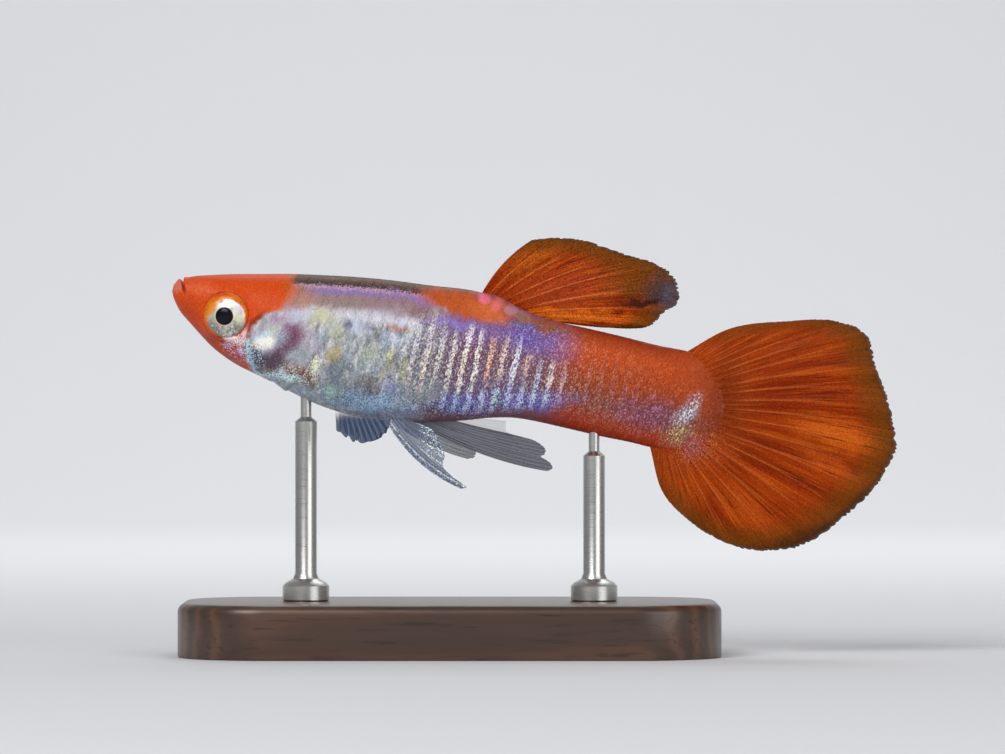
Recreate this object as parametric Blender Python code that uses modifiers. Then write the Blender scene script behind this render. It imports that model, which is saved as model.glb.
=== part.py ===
"""A life-size still model of a male snakeskin guppy, swimming, on a plain display stand.

The fish faces -X with its left side to -Y. The origin is the middle of the stand's underside and +Z is up.
Outlines are given in millimetres and become metres when a mesh is made.
"""

import math
from collections import namedtuple

import bmesh
import bpy
from mathutils import Matrix, Vector

MM = 0.001

# Driving sizes, in millimetres
GAP = 0.3  # air between pieces that touch
STAND_LENGTH = 30.0
STAND_WIDTH = 15.0
STAND_HEIGHT = 3.0
STAND_CORNER = 5.0
ROD_RADIUS = 0.6
ROD_FOOT_RADIUS = 1.3
ROD_FOOT_HEIGHT = 0.8
ROD_SPACING = 16.0
EYE_CENTRE = (-12.33, 18.81)  # x, z
EYE_RADIUS = 1.22
EYE_DEPTH = 0.85  # half of the eyeball's size across the head
EYE_OUT = 1.4  # from the middle plane to the eyeball's centre
GILL_COVER_THICKNESS = 0.55
FIN_WEB = 0.5
FIN_RAY = 0.74
FIN_TIP = 0.34
TAIL_SWAY = 1.9  # how far the tip of the tail has swung to the fish's left
SWAY_FROM = -2.0
SWAY_TO = 24.5

# Mesh fineness
BODY_SIDES = 32
BODY_RINGS = 66
EYE_SIDES = 20
EYE_RINGS = 10
ROD_SIDES = 16

# One cross-section of the body: its point on the back, its point on the belly, and half its width
Section = namedtuple("Section", "back belly half_width")
BODY = [
    Section((-15.44, 20.22), (-15.44, 20.22), 0.00),
    Section((-15.31, 20.61), (-15.33, 19.78), 0.50),
    Section((-15.00, 20.86), (-15.00, 19.11), 0.88),
    Section((-14.61, 20.97), (-14.56, 18.58), 1.12),
    Section((-14.00, 21.07), (-13.89, 17.81), 1.42),
    Section((-13.11, 21.12), (-13.06, 16.97), 1.76),
    Section((-12.00, 21.16), (-11.89, 16.14), 2.02),
    Section((-10.67, 21.17), (-10.44, 15.42), 2.20),
    Section((-9.11, 21.17), (-8.89, 14.64), 2.32),
    Section((-7.33, 21.11), (-7.11, 13.83), 2.38),
    Section((-5.28, 21.00), (-5.17, 13.25), 2.38),
    Section((-3.22, 20.81), (-3.28, 13.00), 2.28),
    Section((-1.11, 20.53), (-1.28, 12.97), 2.08),
    Section((1.00, 20.29), (0.67, 13.03), 1.84),
    Section((2.56, 19.89), (2.11, 13.17), 1.66),
    Section((4.00, 19.21), (3.44, 13.19), 1.50),
    Section((5.44, 18.64), (4.72, 13.00), 1.36),
    Section((7.50, 18.17), (6.44, 12.61), 1.18),
    Section((9.56, 17.69), (8.33, 12.17), 1.00),
    Section((11.56, 17.19), (10.00, 11.83), 0.84),
    Section((13.33, 16.81), (11.39, 11.50), 0.70),
    Section((14.33, 16.06), (12.89, 11.33), 0.60),
    Section((14.94, 15.17), (14.11, 11.69), 0.50),
    Section((15.25, 14.33), (14.94, 12.50), 0.38),
    Section((15.28, 13.39), (15.28, 13.39), 0.00),
]
CROWN_FLATNESS = 2.9  # superellipse exponent over the head
BACK_FLATNESS = 2.15
BELLY_FLATNESS = 1.95
CROWN_ENDS = 10  # the section where the flat crown has become the round back

# Lines, seen from the side, where the body is divided
MOUTH_LINE = [(-14.67, 21.83), (-14.75, 20.89), (-14.58, 20.25), (-14.40, 19.60), (-13.95, 18.60), (-13.11, 16.60)]
GILL_LINE = [
    (-8.56, 21.90), (-8.33, 21.17), (-7.89, 19.72), (-7.50, 18.33), (-7.44, 17.22),
    (-7.83, 16.17), (-8.56, 15.28), (-9.33, 14.39), (-9.90, 13.20),
]
STALK_LINE = [(7.78, 19.72), (7.50, 18.17), (6.44, 12.61), (6.17, 11.11)]
GILL_COVER_OUTLINE = [
    (-10.44, 19.17), (-11.00, 18.33), (-11.17, 17.22), (-10.89, 16.28), (-10.22, 15.50), (-9.22, 15.22),
    (-6.00, 15.22), (-6.00, 19.50),
]
NOSTRILS = [(-13.95, 20.20), (-13.55, 20.05)]
NOSTRIL_RADIUS = 0.13

# A fin seen from the side: points along its root, which is sunk in the body, and along its edge
FinShape = namedtuple("FinShape", "roots tips rays rows bow notch")
TAIL_FIN = FinShape(
    roots=[
        (13.11, 16.56), (13.72, 16.22), (14.28, 15.56), (14.56, 14.50), (14.50, 13.33),
        (13.89, 12.28), (12.83, 11.81), (12.06, 11.64), (11.50, 11.67),
    ],
    tips=[
        (14.33, 17.67), (18.89, 18.60), (22.72, 18.17), (23.89, 14.83), (24.50, 11.50),
        (21.78, 7.83), (17.67, 5.89), (13.44, 7.44), (11.28, 10.72),
    ],
    rays=19,
    rows=9,
    bow=0.03,
    notch=0.018,
)
DORSAL_FIN = FinShape(
    roots=[(1.89, 19.89), (2.67, 19.56), (3.44, 19.11), (4.22, 18.72), (5.00, 18.39)],
    tips=[(4.28, 23.00), (7.83, 22.94), (11.11, 21.89), (12.66, 19.60), (10.33, 18.25)],
    rays=9,
    rows=11,
    bow=0.07,
    notch=0.03,
)
PECTORAL_FIN = FinShape(
    roots=[(-6.80, 16.35), (-6.45, 16.65), (-6.10, 17.00)],
    tips=[(-6.17, 12.20), (-4.67, 11.70), (-3.44, 12.44), (-2.80, 13.90)],
    rays=9,
    rows=6,
    bow=0.03,
    notch=0.07,
)
PELVIC_FIN = FinShape(
    roots=[(-3.67, 13.25), (-3.20, 13.25), (-2.78, 13.25)],
    tips=[(0.78, 9.33), (-0.39, 10.39), (-0.50, 11.60), (-1.39, 12.61)],
    rays=6,
    rows=8,
    bow=-0.07,
    notch=0.06,
)
GONOPODIUM = FinShape(
    roots=[(-2.56, 13.30), (-1.90, 13.30), (-1.20, 13.30), (-0.56, 13.30)],
    tips=[(5.40, 10.15), (5.66, 10.60), (5.22, 11.20), (3.11, 12.30)],
    rays=5,
    rows=9,
    bow=-0.02,
    notch=0.0,
)
DORSAL_LEAN = 0.35  # how far the dorsal fin's edge leans to the fish's right
TAIL_RIPPLE = 0.38
PECTORAL_ROOT_OUT = 2.0
PECTORAL_SPREAD = 1.9
PECTORAL_FLARE = 1.5
PELVIC_ROOT_OUT = 0.62
PELVIC_SPREAD = 0.15
RIGHT_PELVIC_SWEEP = math.radians(15)

Finish = namedtuple("Finish", "colour roughness metallic")
FINISHES = {
    "orange_skin": Finish((0.72, 0.10, 0.015), 0.35, 0.0),
    "silver_skin": Finish((0.45, 0.46, 0.48), 0.30, 0.2),
    "orange_fin": Finish((0.62, 0.13, 0.02), 0.45, 0.0),
    "clear_fin": Finish((0.42, 0.45, 0.50), 0.30, 0.0),
    "eye": Finish((0.70, 0.66, 0.50), 0.10, 0.1),
    "rod_steel": Finish((0.62, 0.62, 0.62), 0.25, 1.0),
    "base_wood": Finish((0.07, 0.035, 0.02), 0.40, 0.0),
}


def clear_scene():
    for obj in list(bpy.data.objects):
        bpy.data.objects.remove(obj, do_unlink=True)


def collection(name):
    made = bpy.data.collections.new(name)
    bpy.context.scene.collection.children.link(made)
    return made


def material(name):
    finish = FINISHES[name]
    made = bpy.data.materials.get(name)
    if made is None:
        made = bpy.data.materials.new(name)
        made.use_nodes = True
        shader = made.node_tree.nodes["Principled BSDF"]
        shader.inputs["Base Color"].default_value = (*finish.colour, 1.0)
        shader.inputs["Roughness"].default_value = finish.roughness
        shader.inputs["Metallic"].default_value = finish.metallic
    return made


def add_object(name, mesh, where, finish=None):
    """An object that holds the mesh, in the named collection, and smooth where its faces turn gently."""
    obj = bpy.data.objects.new(name, mesh)
    where.objects.link(obj)
    if finish:
        mesh.materials.append(material(finish))
        mesh.shade_smooth()
        mesh.set_sharp_from_angle(angle=math.radians(40))
    return obj


def add_cutter(name, mesh, where):
    obj = add_object(name, mesh, where)
    obj.hide_render = True
    obj.display_type = "WIRE"
    return obj


def mesh_from(bm, name):
    """The mesh of a shape that was modelled in millimetres, with its faces pointing out."""
    bm.normal_update()
    bmesh.ops.recalc_face_normals(bm, faces=bm.faces)
    bmesh.ops.scale(bm, vec=(MM, MM, MM), verts=bm.verts)
    mesh = bpy.data.meshes.new(name)
    bm.to_mesh(mesh)
    bm.free()
    return mesh


def smooth_step(x):
    x = min(1.0, max(0.0, x))
    return x * x * (3 - 2 * x)


def along(points, s):
    """The point at parameter s of a smooth curve through the points, which are numbered 0, 1, 2 and so on."""
    last = len(points) - 1
    i = min(last - 1, max(0, int(s)))
    f = s - i
    b, c = Vector(points[i]), Vector(points[i + 1])
    a = Vector(points[i - 1]) if i > 0 else 2 * b - c
    d = Vector(points[i + 2]) if i + 2 <= last else 2 * c - b
    return 0.5 * (2 * b + (c - a) * f + (2 * a - 5 * b + 4 * c - d) * f**2 + (3 * b - a - 3 * c + d) * f**3)


def sway(x):
    """How far the swimming bend has moved the body sideways at this length."""
    share = max(0.0, (x - SWAY_FROM) / (SWAY_TO - SWAY_FROM))
    return -TAIL_SWAY * share**2


def in_place(x, y, z):
    """A point of the straight fish as a point of the bent one."""
    return Vector((x, y + sway(x), z))


def body_point(s, angle, grow=0.0):
    """The skin at section s and this angle round from the back. A grow below 0 gives a body inside the skin."""
    back = along([section.back for section in BODY], s)
    belly = along([section.belly for section in BODY], s)
    half_width = along([(section.half_width, 0) for section in BODY], s).x
    centre = (back + belly) / 2
    up = (back - belly) / 2
    height = max(up.length, 1e-6)
    taller = max(0.02, height + grow) / height
    wide = max(0.02, half_width + grow)
    if grow == 0.0:
        wide = max(0.0, half_width)
    rise, side = math.cos(angle), math.sin(angle)
    crown = CROWN_FLATNESS + (BACK_FLATNESS - CROWN_FLATNESS) * smooth_step(s / CROWN_ENDS)
    power = 2 / (crown if rise > 0 else BELLY_FLATNESS)
    rise = math.copysign(abs(rise) ** power, rise)
    side = math.copysign(abs(side) ** power, side)
    place = centre + up * taller * rise
    return in_place(place.x, wide * side, place.y)


def body_mesh(name, grow=0.0):
    """The whole body from a sphere whose poles become the mouth and the root of the tail fin."""
    bm = bmesh.new()
    bmesh.ops.create_uvsphere(bm, u_segments=BODY_SIDES, v_segments=BODY_RINGS, radius=1.0)
    for vert in bm.verts:
        s = (len(BODY) - 1) * math.acos(max(-1.0, min(1.0, vert.co.z))) / math.pi
        vert.co = body_point(s, math.atan2(vert.co.y, vert.co.x), grow)
    return mesh_from(bm, name)


def offset(points, distance, closed=False):
    """The line moved to its left by this distance, or a closed outline made larger if it runs clockwise."""
    moved = []
    count = len(points)
    for i, point in enumerate(points):
        before = points[i - 1] if closed or i > 0 else point
        after = points[(i + 1) % count] if closed or i < count - 1 else point
        run = (Vector(after) - Vector(before)).normalized()
        moved.append((point[0] - run.y * distance, point[1] + run.x * distance))
    return moved


def side_prism(name, outline, y_from, y_to, where):
    """A cutter with this outline from the side, in millimetres, that reaches from y_from to y_to."""
    curve = bpy.data.curves.new(name, "CURVE")
    curve.dimensions = "2D"
    curve.fill_mode = "BOTH"
    curve.extrude = abs(y_to - y_from) / 2
    spline = curve.splines.new("POLY")
    spline.points.add(len(outline) - 1)
    for point, (x, z) in zip(spline.points, outline):
        point.co = (x, z, 0.0, 1.0)
    spline.use_cyclic_u = True
    drawn = bpy.data.objects.new(name, curve)
    bpy.context.scene.collection.objects.link(drawn)
    drawn.rotation_euler = (math.pi / 2, 0, 0)
    drawn.location = (0, (y_from + y_to) / 2, 0)
    bpy.context.view_layer.update()
    evaluated = drawn.evaluated_get(bpy.context.evaluated_depsgraph_get())
    mesh = bpy.data.meshes.new_from_object(evaluated)
    mesh.transform(drawn.matrix_world)
    bpy.data.objects.remove(drawn, do_unlink=True)
    bm = bmesh.new()
    bm.from_mesh(mesh)
    bpy.data.meshes.remove(mesh)
    bmesh.ops.remove_doubles(bm, verts=bm.verts, dist=1e-4)
    return add_cutter(name, mesh_from(bm, name), where)


def boolean(obj, operation, cutter):
    modifier = obj.modifiers.new(f"{operation.lower()} {cutter.name}", "BOOLEAN")
    modifier.operation = operation
    modifier.object = cutter
    modifier.solver = "EXACT"


def ellipsoid(radii, centre, turn, sides, rings):
    """A closed ball with its poles across the fish, stretched to the radii, turned about Z and put at the centre."""
    bm = bmesh.new()
    bmesh.ops.create_uvsphere(bm, u_segments=sides, v_segments=rings, radius=1.0)
    for vert in bm.verts:
        flat = Vector((vert.co.x * radii[0], vert.co.z * radii[1], vert.co.y * radii[2]))
        vert.co = Matrix.Rotation(turn, 3, "Z") @ flat + Vector(centre)
    return bm


def make_eyes(fish, cutters):
    """The two eyeballs, and a cutter for the socket of each."""
    sockets = []
    for side_name, side in (("left", -1), ("right", 1)):
        centre = (EYE_CENTRE[0], side * EYE_OUT, EYE_CENTRE[1])
        turn = -side * math.radians(8)
        ball = ellipsoid((EYE_RADIUS, EYE_DEPTH, EYE_RADIUS), centre, turn, EYE_SIDES, EYE_RINGS)
        add_object(f"eye_{side_name}", mesh_from(ball, f"eye_{side_name}"), fish, "eye")
        room = (EYE_RADIUS + GAP, EYE_DEPTH + GAP, EYE_RADIUS + GAP)
        hollow = ellipsoid(room, centre, turn, EYE_SIDES, EYE_RINGS)
        sockets.append(add_cutter(f"socket_{side_name}", mesh_from(hollow, f"socket_{side_name}"), cutters))
    return sockets


def nostril_cutter(cutters):
    """Four short pits, two on each side of the snout, in one cutter."""
    bm = bmesh.new()
    for x, z in NOSTRILS:
        for side in (-1, 1):
            made = bmesh.ops.create_uvsphere(bm, u_segments=8, v_segments=6, radius=NOSTRIL_RADIUS)
            out = snout_half_width(x, z)
            bmesh.ops.translate(bm, verts=made["verts"], vec=Vector((x, side * out, z)))
    return add_cutter("nostril_pits", mesh_from(bm, "nostril_pits"), cutters)


def snout_half_width(x, z):
    """How far out the skin of the front of the head is at this height, by trying angles from the back down."""
    best, found = 1e9, 0.0
    for ring in range(2, 6 * 8):
        for step in range(1, 24):
            place = body_point(ring / 8, math.pi * step / 24)
            miss = abs(place.x - x) + abs(place.z - z)
            if miss < best:
                best, found = miss, place.y
    return found


def region(name, front_line, rear_line, cutters):
    """A cutter that keeps what lies between two dividing lines, less half the gap at each. The lines run downwards."""
    front = offset(front_line, GAP / 2)
    rear = offset(rear_line, -GAP / 2)
    return side_prism(name, front + rear[::-1], -6, 6, cutters)


def make_flesh(fish, cutters, sockets):
    """The jaw, head, gill covers, trunk and tail stalk: one body, parted with thin cuts."""
    before = [(-20.0, 24.0), (-20.0, 8.0)]
    beyond = [(20.0, 24.0), (20.0, 8.0)]
    whole = body_mesh("body")
    jaw_room = region("jaw_room", before, MOUTH_LINE, cutters)
    head_room = region("head_room", MOUTH_LINE, GILL_LINE, cutters)
    trunk_room = region("trunk_room", GILL_LINE, STALK_LINE, cutters)
    stalk_room = region("stalk_room", STALK_LINE, beyond, cutters)

    jaw = add_object("lower_jaw", whole.copy(), fish, "orange_skin")
    boolean(jaw, "INTERSECT", jaw_room)
    head = add_object("head", whole.copy(), fish, "orange_skin")
    boolean(head, "INTERSECT", head_room)
    trunk = add_object("trunk", whole.copy(), fish, "silver_skin")
    boolean(trunk, "INTERSECT", trunk_room)
    stalk = add_object("tail_stalk", whole.copy(), fish, "orange_skin")
    boolean(stalk, "INTERSECT", stalk_room)

    under_cover = body_mesh("under_cover", -GILL_COVER_THICKNESS)
    under_pocket = body_mesh("under_pocket", -GILL_COVER_THICKNESS - GAP)
    cover_core = add_cutter("cover_core", under_cover, cutters)
    pocket_core = add_cutter("pocket_core", under_pocket, cutters)
    wider = offset(GILL_COVER_OUTLINE, -GAP, closed=True)
    for side_name, side in (("left", -1), ("right", 1)):
        cover_room = side_prism(f"cover_room_{side_name}", GILL_COVER_OUTLINE, side * 0.4, side * 6, cutters)
        cover = add_object(f"gill_cover_{side_name}", whole.copy(), fish, "silver_skin")
        boolean(cover, "INTERSECT", cover_room)
        boolean(cover, "INTERSECT", head_room)
        boolean(cover, "DIFFERENCE", cover_core)
        pocket = side_prism(f"pocket_{side_name}", wider, side * 0.1, side * 6, cutters)
        boolean(pocket, "DIFFERENCE", pocket_core)
        boolean(head, "DIFFERENCE", pocket)
    for socket in sockets:
        boolean(head, "DIFFERENCE", socket)
    boolean(head, "DIFFERENCE", nostril_cutter(cutters))
    bpy.data.meshes.remove(whole)


def clearance_cutter(cutters):
    """The whole body grown by the gap on every side, which trims each root that meets the skin."""
    grown = add_cutter("clearance", body_mesh("clearance"), cutters)
    displace = grown.modifiers.new("grow by the gap", "DISPLACE")
    displace.strength = GAP * MM
    displace.mid_level = 0.0
    return grown


def make_fin(name, shape, depth, finish, fish, clearance):
    """A fin as one curved sheet whose thickness rises to a ridge along each ray and thins towards the edge.

    depth(u, r, run) is how far the sheet lies from the middle plane, at the share u across the fan and the share r
    of the way out from the root, which is a run of so many millimetres.
    """
    steps = 4 * (shape.rays - 1)
    bm = bmesh.new()
    bmesh.ops.create_grid(bm, x_segments=steps, y_segments=shape.rows, size=0.5)
    ridge = {}
    for vert in bm.verts:
        u, r = vert.co.x + 0.5, vert.co.y + 0.5
        off_ray = abs((u * (shape.rays - 1) + 0.5) % 1.0 - 0.5) * 2
        crest = max(0.0, 1.0 - off_ray * 1.6)
        root = along(shape.roots, u * (len(shape.roots) - 1))
        tip = along(shape.tips, u * (len(shape.tips) - 1))
        reach = tip - root
        out = r * (1.0 - shape.notch * off_ray * r**3)
        across = Vector((-reach.y, reach.x))
        place = root + reach * out + across * shape.bow * 4 * out * (1 - out) * (1 - u)
        vert.co = in_place(place.x, depth(u, out, out * reach.length), place.y)
        thick = FIN_WEB + (FIN_RAY - FIN_WEB) * crest * (1 - 0.5 * r)
        thick += (FIN_TIP - thick) * smooth_step((r - 0.8) / 0.2)
        ridge[vert.index] = (thick - FIN_TIP) / (FIN_RAY - FIN_TIP)
    bmesh.ops.triangulate(bm, faces=bm.faces, quad_method="FIXED")
    fin = add_object(name, mesh_from(bm, name), fish, finish)
    group = fin.vertex_groups.new(name="thickness")
    for index, weight in ridge.items():
        group.add([index], weight, "REPLACE")
    solid = fin.modifiers.new("thickness", "SOLIDIFY")
    solid.thickness = FIN_RAY * MM
    solid.offset = 0.0
    solid.vertex_group = group.name
    solid.thickness_vertex_group = FIN_TIP / FIN_RAY
    boolean(fin, "DIFFERENCE", clearance)
    return fin


def turned(points, about, angle):
    """Points turned in the side view by this angle, from +X towards +Z."""
    out = []
    for x, z in points:
        dx, dz = x - about[0], z - about[1]
        out.append((
            about[0] + dx * math.cos(angle) - dz * math.sin(angle),
            about[1] + dx * math.sin(angle) + dz * math.cos(angle),
        ))
    return out


def make_fins(fish, clearance):
    def tail_depth(u, r, run):
        return TAIL_RIPPLE * r**1.3 * math.sin(2 * math.pi * (1.4 * u + 0.12))

    def dorsal_depth(u, r, run):
        return DORSAL_LEAN * r * r + 0.18 * r * math.sin(2 * math.pi * 1.2 * u)

    make_fin("tail_fin", TAIL_FIN, tail_depth, "orange_fin", fish, clearance)
    make_fin("dorsal_fin", DORSAL_FIN, dorsal_depth, "orange_fin", fish, clearance)
    make_fin("gonopodium", GONOPODIUM, lambda u, r, run: 0.0, "clear_fin", fish, clearance)
    for side_name, side in (("left", -1), ("right", 1)):

        def pectoral_depth(u, r, run, side=side):
            return side * (PECTORAL_ROOT_OUT + PECTORAL_SPREAD * (1 - math.exp(-run / PECTORAL_FLARE)))

        def pelvic_depth(u, r, run, side=side):
            return side * (PELVIC_ROOT_OUT + PELVIC_SPREAD * run)

        pelvic = PELVIC_FIN
        if side > 0:
            pelvic = pelvic._replace(tips=turned(pelvic.tips, pelvic.roots[1], RIGHT_PELVIC_SWEEP))
        make_fin(f"pectoral_fin_{side_name}", PECTORAL_FIN, pectoral_depth, "clear_fin", fish, clearance)
        make_fin(f"pelvic_fin_{side_name}", pelvic, pelvic_depth, "clear_fin", fish, clearance)


def make_stand_base(stand):
    """A low block with round corners and a softened upper edge."""
    bm = bmesh.new()
    bmesh.ops.create_cube(bm, size=1.0)
    bmesh.ops.scale(bm, vec=(STAND_LENGTH, STAND_WIDTH, STAND_HEIGHT), verts=bm.verts)
    bmesh.ops.translate(bm, vec=(0, 0, STAND_HEIGHT / 2), verts=bm.verts)
    upright = [e for e in bm.edges if abs(e.verts[0].co.z - e.verts[1].co.z) > STAND_HEIGHT / 2]
    bmesh.ops.bevel(bm, geom=upright, affect="EDGES", offset=STAND_CORNER, segments=8, profile=0.5, material=-1)
    rim = [e for e in bm.edges if min(v.co.z for v in e.verts) > STAND_HEIGHT - 0.01]
    bmesh.ops.bevel(bm, geom=rim, affect="EDGES", offset=0.5, segments=3, profile=0.5, material=-1)
    add_object("stand_base", mesh_from(bm, "stand_base"), stand, "base_wood")


def make_stand_rods(stand, clearance):
    """Two turned rods with round feet. Each is cut at the top to the shape of the belly that it carries."""
    bottom = STAND_HEIGHT + GAP
    shoulder = bottom + ROD_FOOT_HEIGHT
    for name, x, top in (("stand_rod_front", -ROD_SPACING / 2, 16.0), ("stand_rod_rear", ROD_SPACING / 2, 14.0)):
        profile = [
            (0.0, top), (ROD_RADIUS, top), (ROD_RADIUS, shoulder + 0.3), (ROD_RADIUS + 0.2, shoulder),
            (ROD_FOOT_RADIUS - 0.2, shoulder), (ROD_FOOT_RADIUS, shoulder - 0.2), (ROD_FOOT_RADIUS, bottom),
            (0.0, bottom),
        ]
        bm = bmesh.new()
        verts = [bm.verts.new((radius, 0, z)) for radius, z in profile]
        for first, second in zip(verts, verts[1:]):
            bm.edges.new((first, second))
        rod = add_object(name, mesh_from(bm, name), stand, "rod_steel")
        rod.location = (x * MM, sway(x) * MM, 0)
        screw = rod.modifiers.new("turn", "SCREW")
        screw.steps = screw.render_steps = ROD_SIDES
        screw.use_merge_vertices = True
        screw.merge_threshold = 1e-6
        boolean(rod, "DIFFERENCE", clearance)


def main():
    clear_scene()
    fish = collection("guppy")
    stand = collection("stand")
    cutters = collection("cutters")
    sockets = make_eyes(fish, cutters)
    make_flesh(fish, cutters, sockets)
    clearance = clearance_cutter(cutters)
    make_fins(fish, clearance)
    make_stand_base(stand)
    make_stand_rods(stand, clearance)


main()
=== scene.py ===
"""Looks of the life-size snakeskin guppy on its display stand.

The fish faces -X with its left side to -Y, and +Z is up. Outlines are given in millimetres, as in the
model's own source, and become metres when a mesh is made. Materials read object coordinates.
"""

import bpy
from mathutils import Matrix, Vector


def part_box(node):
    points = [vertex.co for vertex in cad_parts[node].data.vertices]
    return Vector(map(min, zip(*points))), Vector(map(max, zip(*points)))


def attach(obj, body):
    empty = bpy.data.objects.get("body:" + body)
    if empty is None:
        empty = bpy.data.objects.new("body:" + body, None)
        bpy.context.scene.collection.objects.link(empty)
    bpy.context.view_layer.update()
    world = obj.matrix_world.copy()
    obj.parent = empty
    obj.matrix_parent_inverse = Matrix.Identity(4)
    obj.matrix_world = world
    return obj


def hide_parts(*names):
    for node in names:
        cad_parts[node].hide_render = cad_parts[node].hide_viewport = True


bl_info = {
    "name": "Snakeskin Guppy Model",
    "version": (1, 0, 0),
    "blender": (4, 5, 0),
    "location": "View3D > Sidebar > Guppy",
    "description": "Dresses the life-size guppy model with skin, scales, fins, eyes and its stand",
    "category": "Object",
}

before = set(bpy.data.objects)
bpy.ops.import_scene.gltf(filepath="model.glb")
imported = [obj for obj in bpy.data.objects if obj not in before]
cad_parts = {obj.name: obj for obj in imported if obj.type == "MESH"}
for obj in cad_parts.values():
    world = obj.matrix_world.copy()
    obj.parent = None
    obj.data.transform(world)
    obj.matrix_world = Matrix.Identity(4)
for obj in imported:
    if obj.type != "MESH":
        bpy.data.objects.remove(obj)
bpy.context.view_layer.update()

import itertools
import math
from collections import namedtuple

import bmesh
import bpy
import numpy as np
from bpy.props import FloatProperty, FloatVectorProperty, IntProperty, PointerProperty
from mathutils import Vector

MM = 0.001
COLOUR_A = 6  # the colour inputs of a Mix node
COLOUR_B = 7
BAR_LEAN = 0.217  # how far a bar of the flank runs back for each millimetre that it goes up
LEAN_HEIGHT = 16.0  # the height in millimetres where lengths along the lean are true lengths
RAY_HALF_WIDTH = 0.065  # of a fin ray at its root, in millimetres
SHARP_ANGLE = math.radians(35)  # edges of the stand that bend more than this are drawn sharp
BODY_NAME = "root"
PHOTO_WIDTH = 1005
PHOTO_SCALE = 18.0  # pixels of the photograph to a millimetre of the fish
PHOTO_CENTRE = (2.917, 15.444)  # what the middle of the photograph shows, as x and z in millimetres

# One cross-section of the body: its point on the back, its point on the belly, and half its width
Section = namedtuple("Section", "back belly half_width")
BODY = [
    Section((-15.44, 20.22), (-15.44, 20.22), 0.00),
    Section((-15.31, 20.61), (-15.33, 19.78), 0.50),
    Section((-15.00, 20.86), (-15.00, 19.11), 0.88),
    Section((-14.61, 20.97), (-14.56, 18.58), 1.12),
    Section((-14.00, 21.07), (-13.89, 17.81), 1.42),
    Section((-13.11, 21.12), (-13.06, 16.97), 1.76),
    Section((-12.00, 21.16), (-11.89, 16.14), 2.02),
    Section((-10.67, 21.17), (-10.44, 15.42), 2.20),
    Section((-9.11, 21.17), (-8.89, 14.64), 2.32),
    Section((-7.33, 21.11), (-7.11, 13.83), 2.38),
    Section((-5.28, 21.00), (-5.17, 13.25), 2.38),
    Section((-3.22, 20.81), (-3.28, 13.00), 2.28),
    Section((-1.11, 20.53), (-1.28, 12.97), 2.08),
    Section((1.00, 20.29), (0.67, 13.03), 1.84),
    Section((2.56, 19.89), (2.11, 13.17), 1.66),
    Section((4.00, 19.21), (3.44, 13.19), 1.50),
    Section((5.44, 18.64), (4.72, 13.00), 1.36),
    Section((7.50, 18.17), (6.44, 12.61), 1.18),
    Section((9.56, 17.69), (8.33, 12.17), 1.00),
    Section((11.56, 17.19), (10.00, 11.83), 0.84),
    Section((13.33, 16.81), (11.39, 11.50), 0.66),
    Section((14.33, 16.06), (12.89, 11.33), 0.46),
    Section((14.94, 15.17), (14.11, 11.69), 0.28),
    Section((15.25, 14.33), (14.94, 12.50), 0.14),
    Section((15.28, 13.39), (15.28, 13.39), 0.00),
]
LAST = len(BODY) - 1
CROWN_FLATNESS = 2.9  # superellipse exponent over the head
BACK_FLATNESS = 2.15
BELLY_FLATNESS = 1.95
CROWN_ENDS = 10  # the section where the flat crown has become the round back
WEDGE_FLATNESS = 1.12  # the stalk's end is a wedge, so that it runs smoothly into the tail fin
WEDGE_FROM = 18.5
WEDGE_FULL = 21.5
TAIL_SWAY = 1.9
SWAY_FROM = -2.0
SWAY_TO = 24.5

# Lines of the head, seen from the side
MOUTH_LINE = [
    (-14.88, 21.70), (-14.86, 20.80), (-14.74, 20.25), (-14.62, 19.80), (-14.30, 19.00), (-13.80, 18.20),
]
GILL_LINE = [
    (-8.56, 21.90), (-8.33, 21.17), (-7.89, 19.72), (-7.50, 18.33), (-7.44, 17.22),
    (-7.83, 16.17), (-8.56, 15.28), (-9.33, 14.39), (-9.90, 13.20),
]
CHEEK_LINE = [
    (-10.00, 19.00), (-10.55, 18.60), (-10.95, 17.90), (-11.17, 17.10), (-10.89, 16.10), (-10.20, 15.55),
]
NOSTRILS = [(-13.95, 20.20), (-13.55, 20.05)]
EYE_CENTRE = (-12.38, 18.89)
EYE_TURN = math.radians(11)
PUPIL_CENTRE = (-12.44, 18.80)
FIN_BASE = (-6.40, 16.70)  # where the pectoral fin leaves the flank

# A fin: points along its root, which is sunk in the body, and along its edge, seen from the side; its rays
# and how far they bow; the faces across and along it; where along a ray it forks; the share of its length
# that is worn off its edge, in how many teeth, and the seed of their random sizes
FinShape = namedtuple("FinShape", "roots tips rays bow columns rows forks ragged teeth seed")
TAIL_SHAPE = FinShape(
    roots=[
        (13.11, 16.56), (13.72, 16.22), (14.28, 15.56), (14.56, 14.50), (14.50, 13.33),
        (13.89, 12.28), (12.83, 11.81), (12.06, 11.64), (11.50, 11.67),
    ],
    tips=[
        (13.05, 16.78), (15.60, 18.15), (18.60, 18.52), (21.30, 18.58), (22.95, 17.75),
        (23.60, 15.80), (24.15, 13.75), (24.50, 11.45), (23.45, 9.40), (21.35, 7.45),
        (19.00, 6.00), (16.30, 5.90), (13.75, 7.10), (11.85, 9.00), (11.08, 11.64),
    ],
    rays=27, bow=0.03, columns=700, rows=62, forks=(0.30, 0.62), ragged=0.05, teeth=108, seed=11,
)
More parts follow.
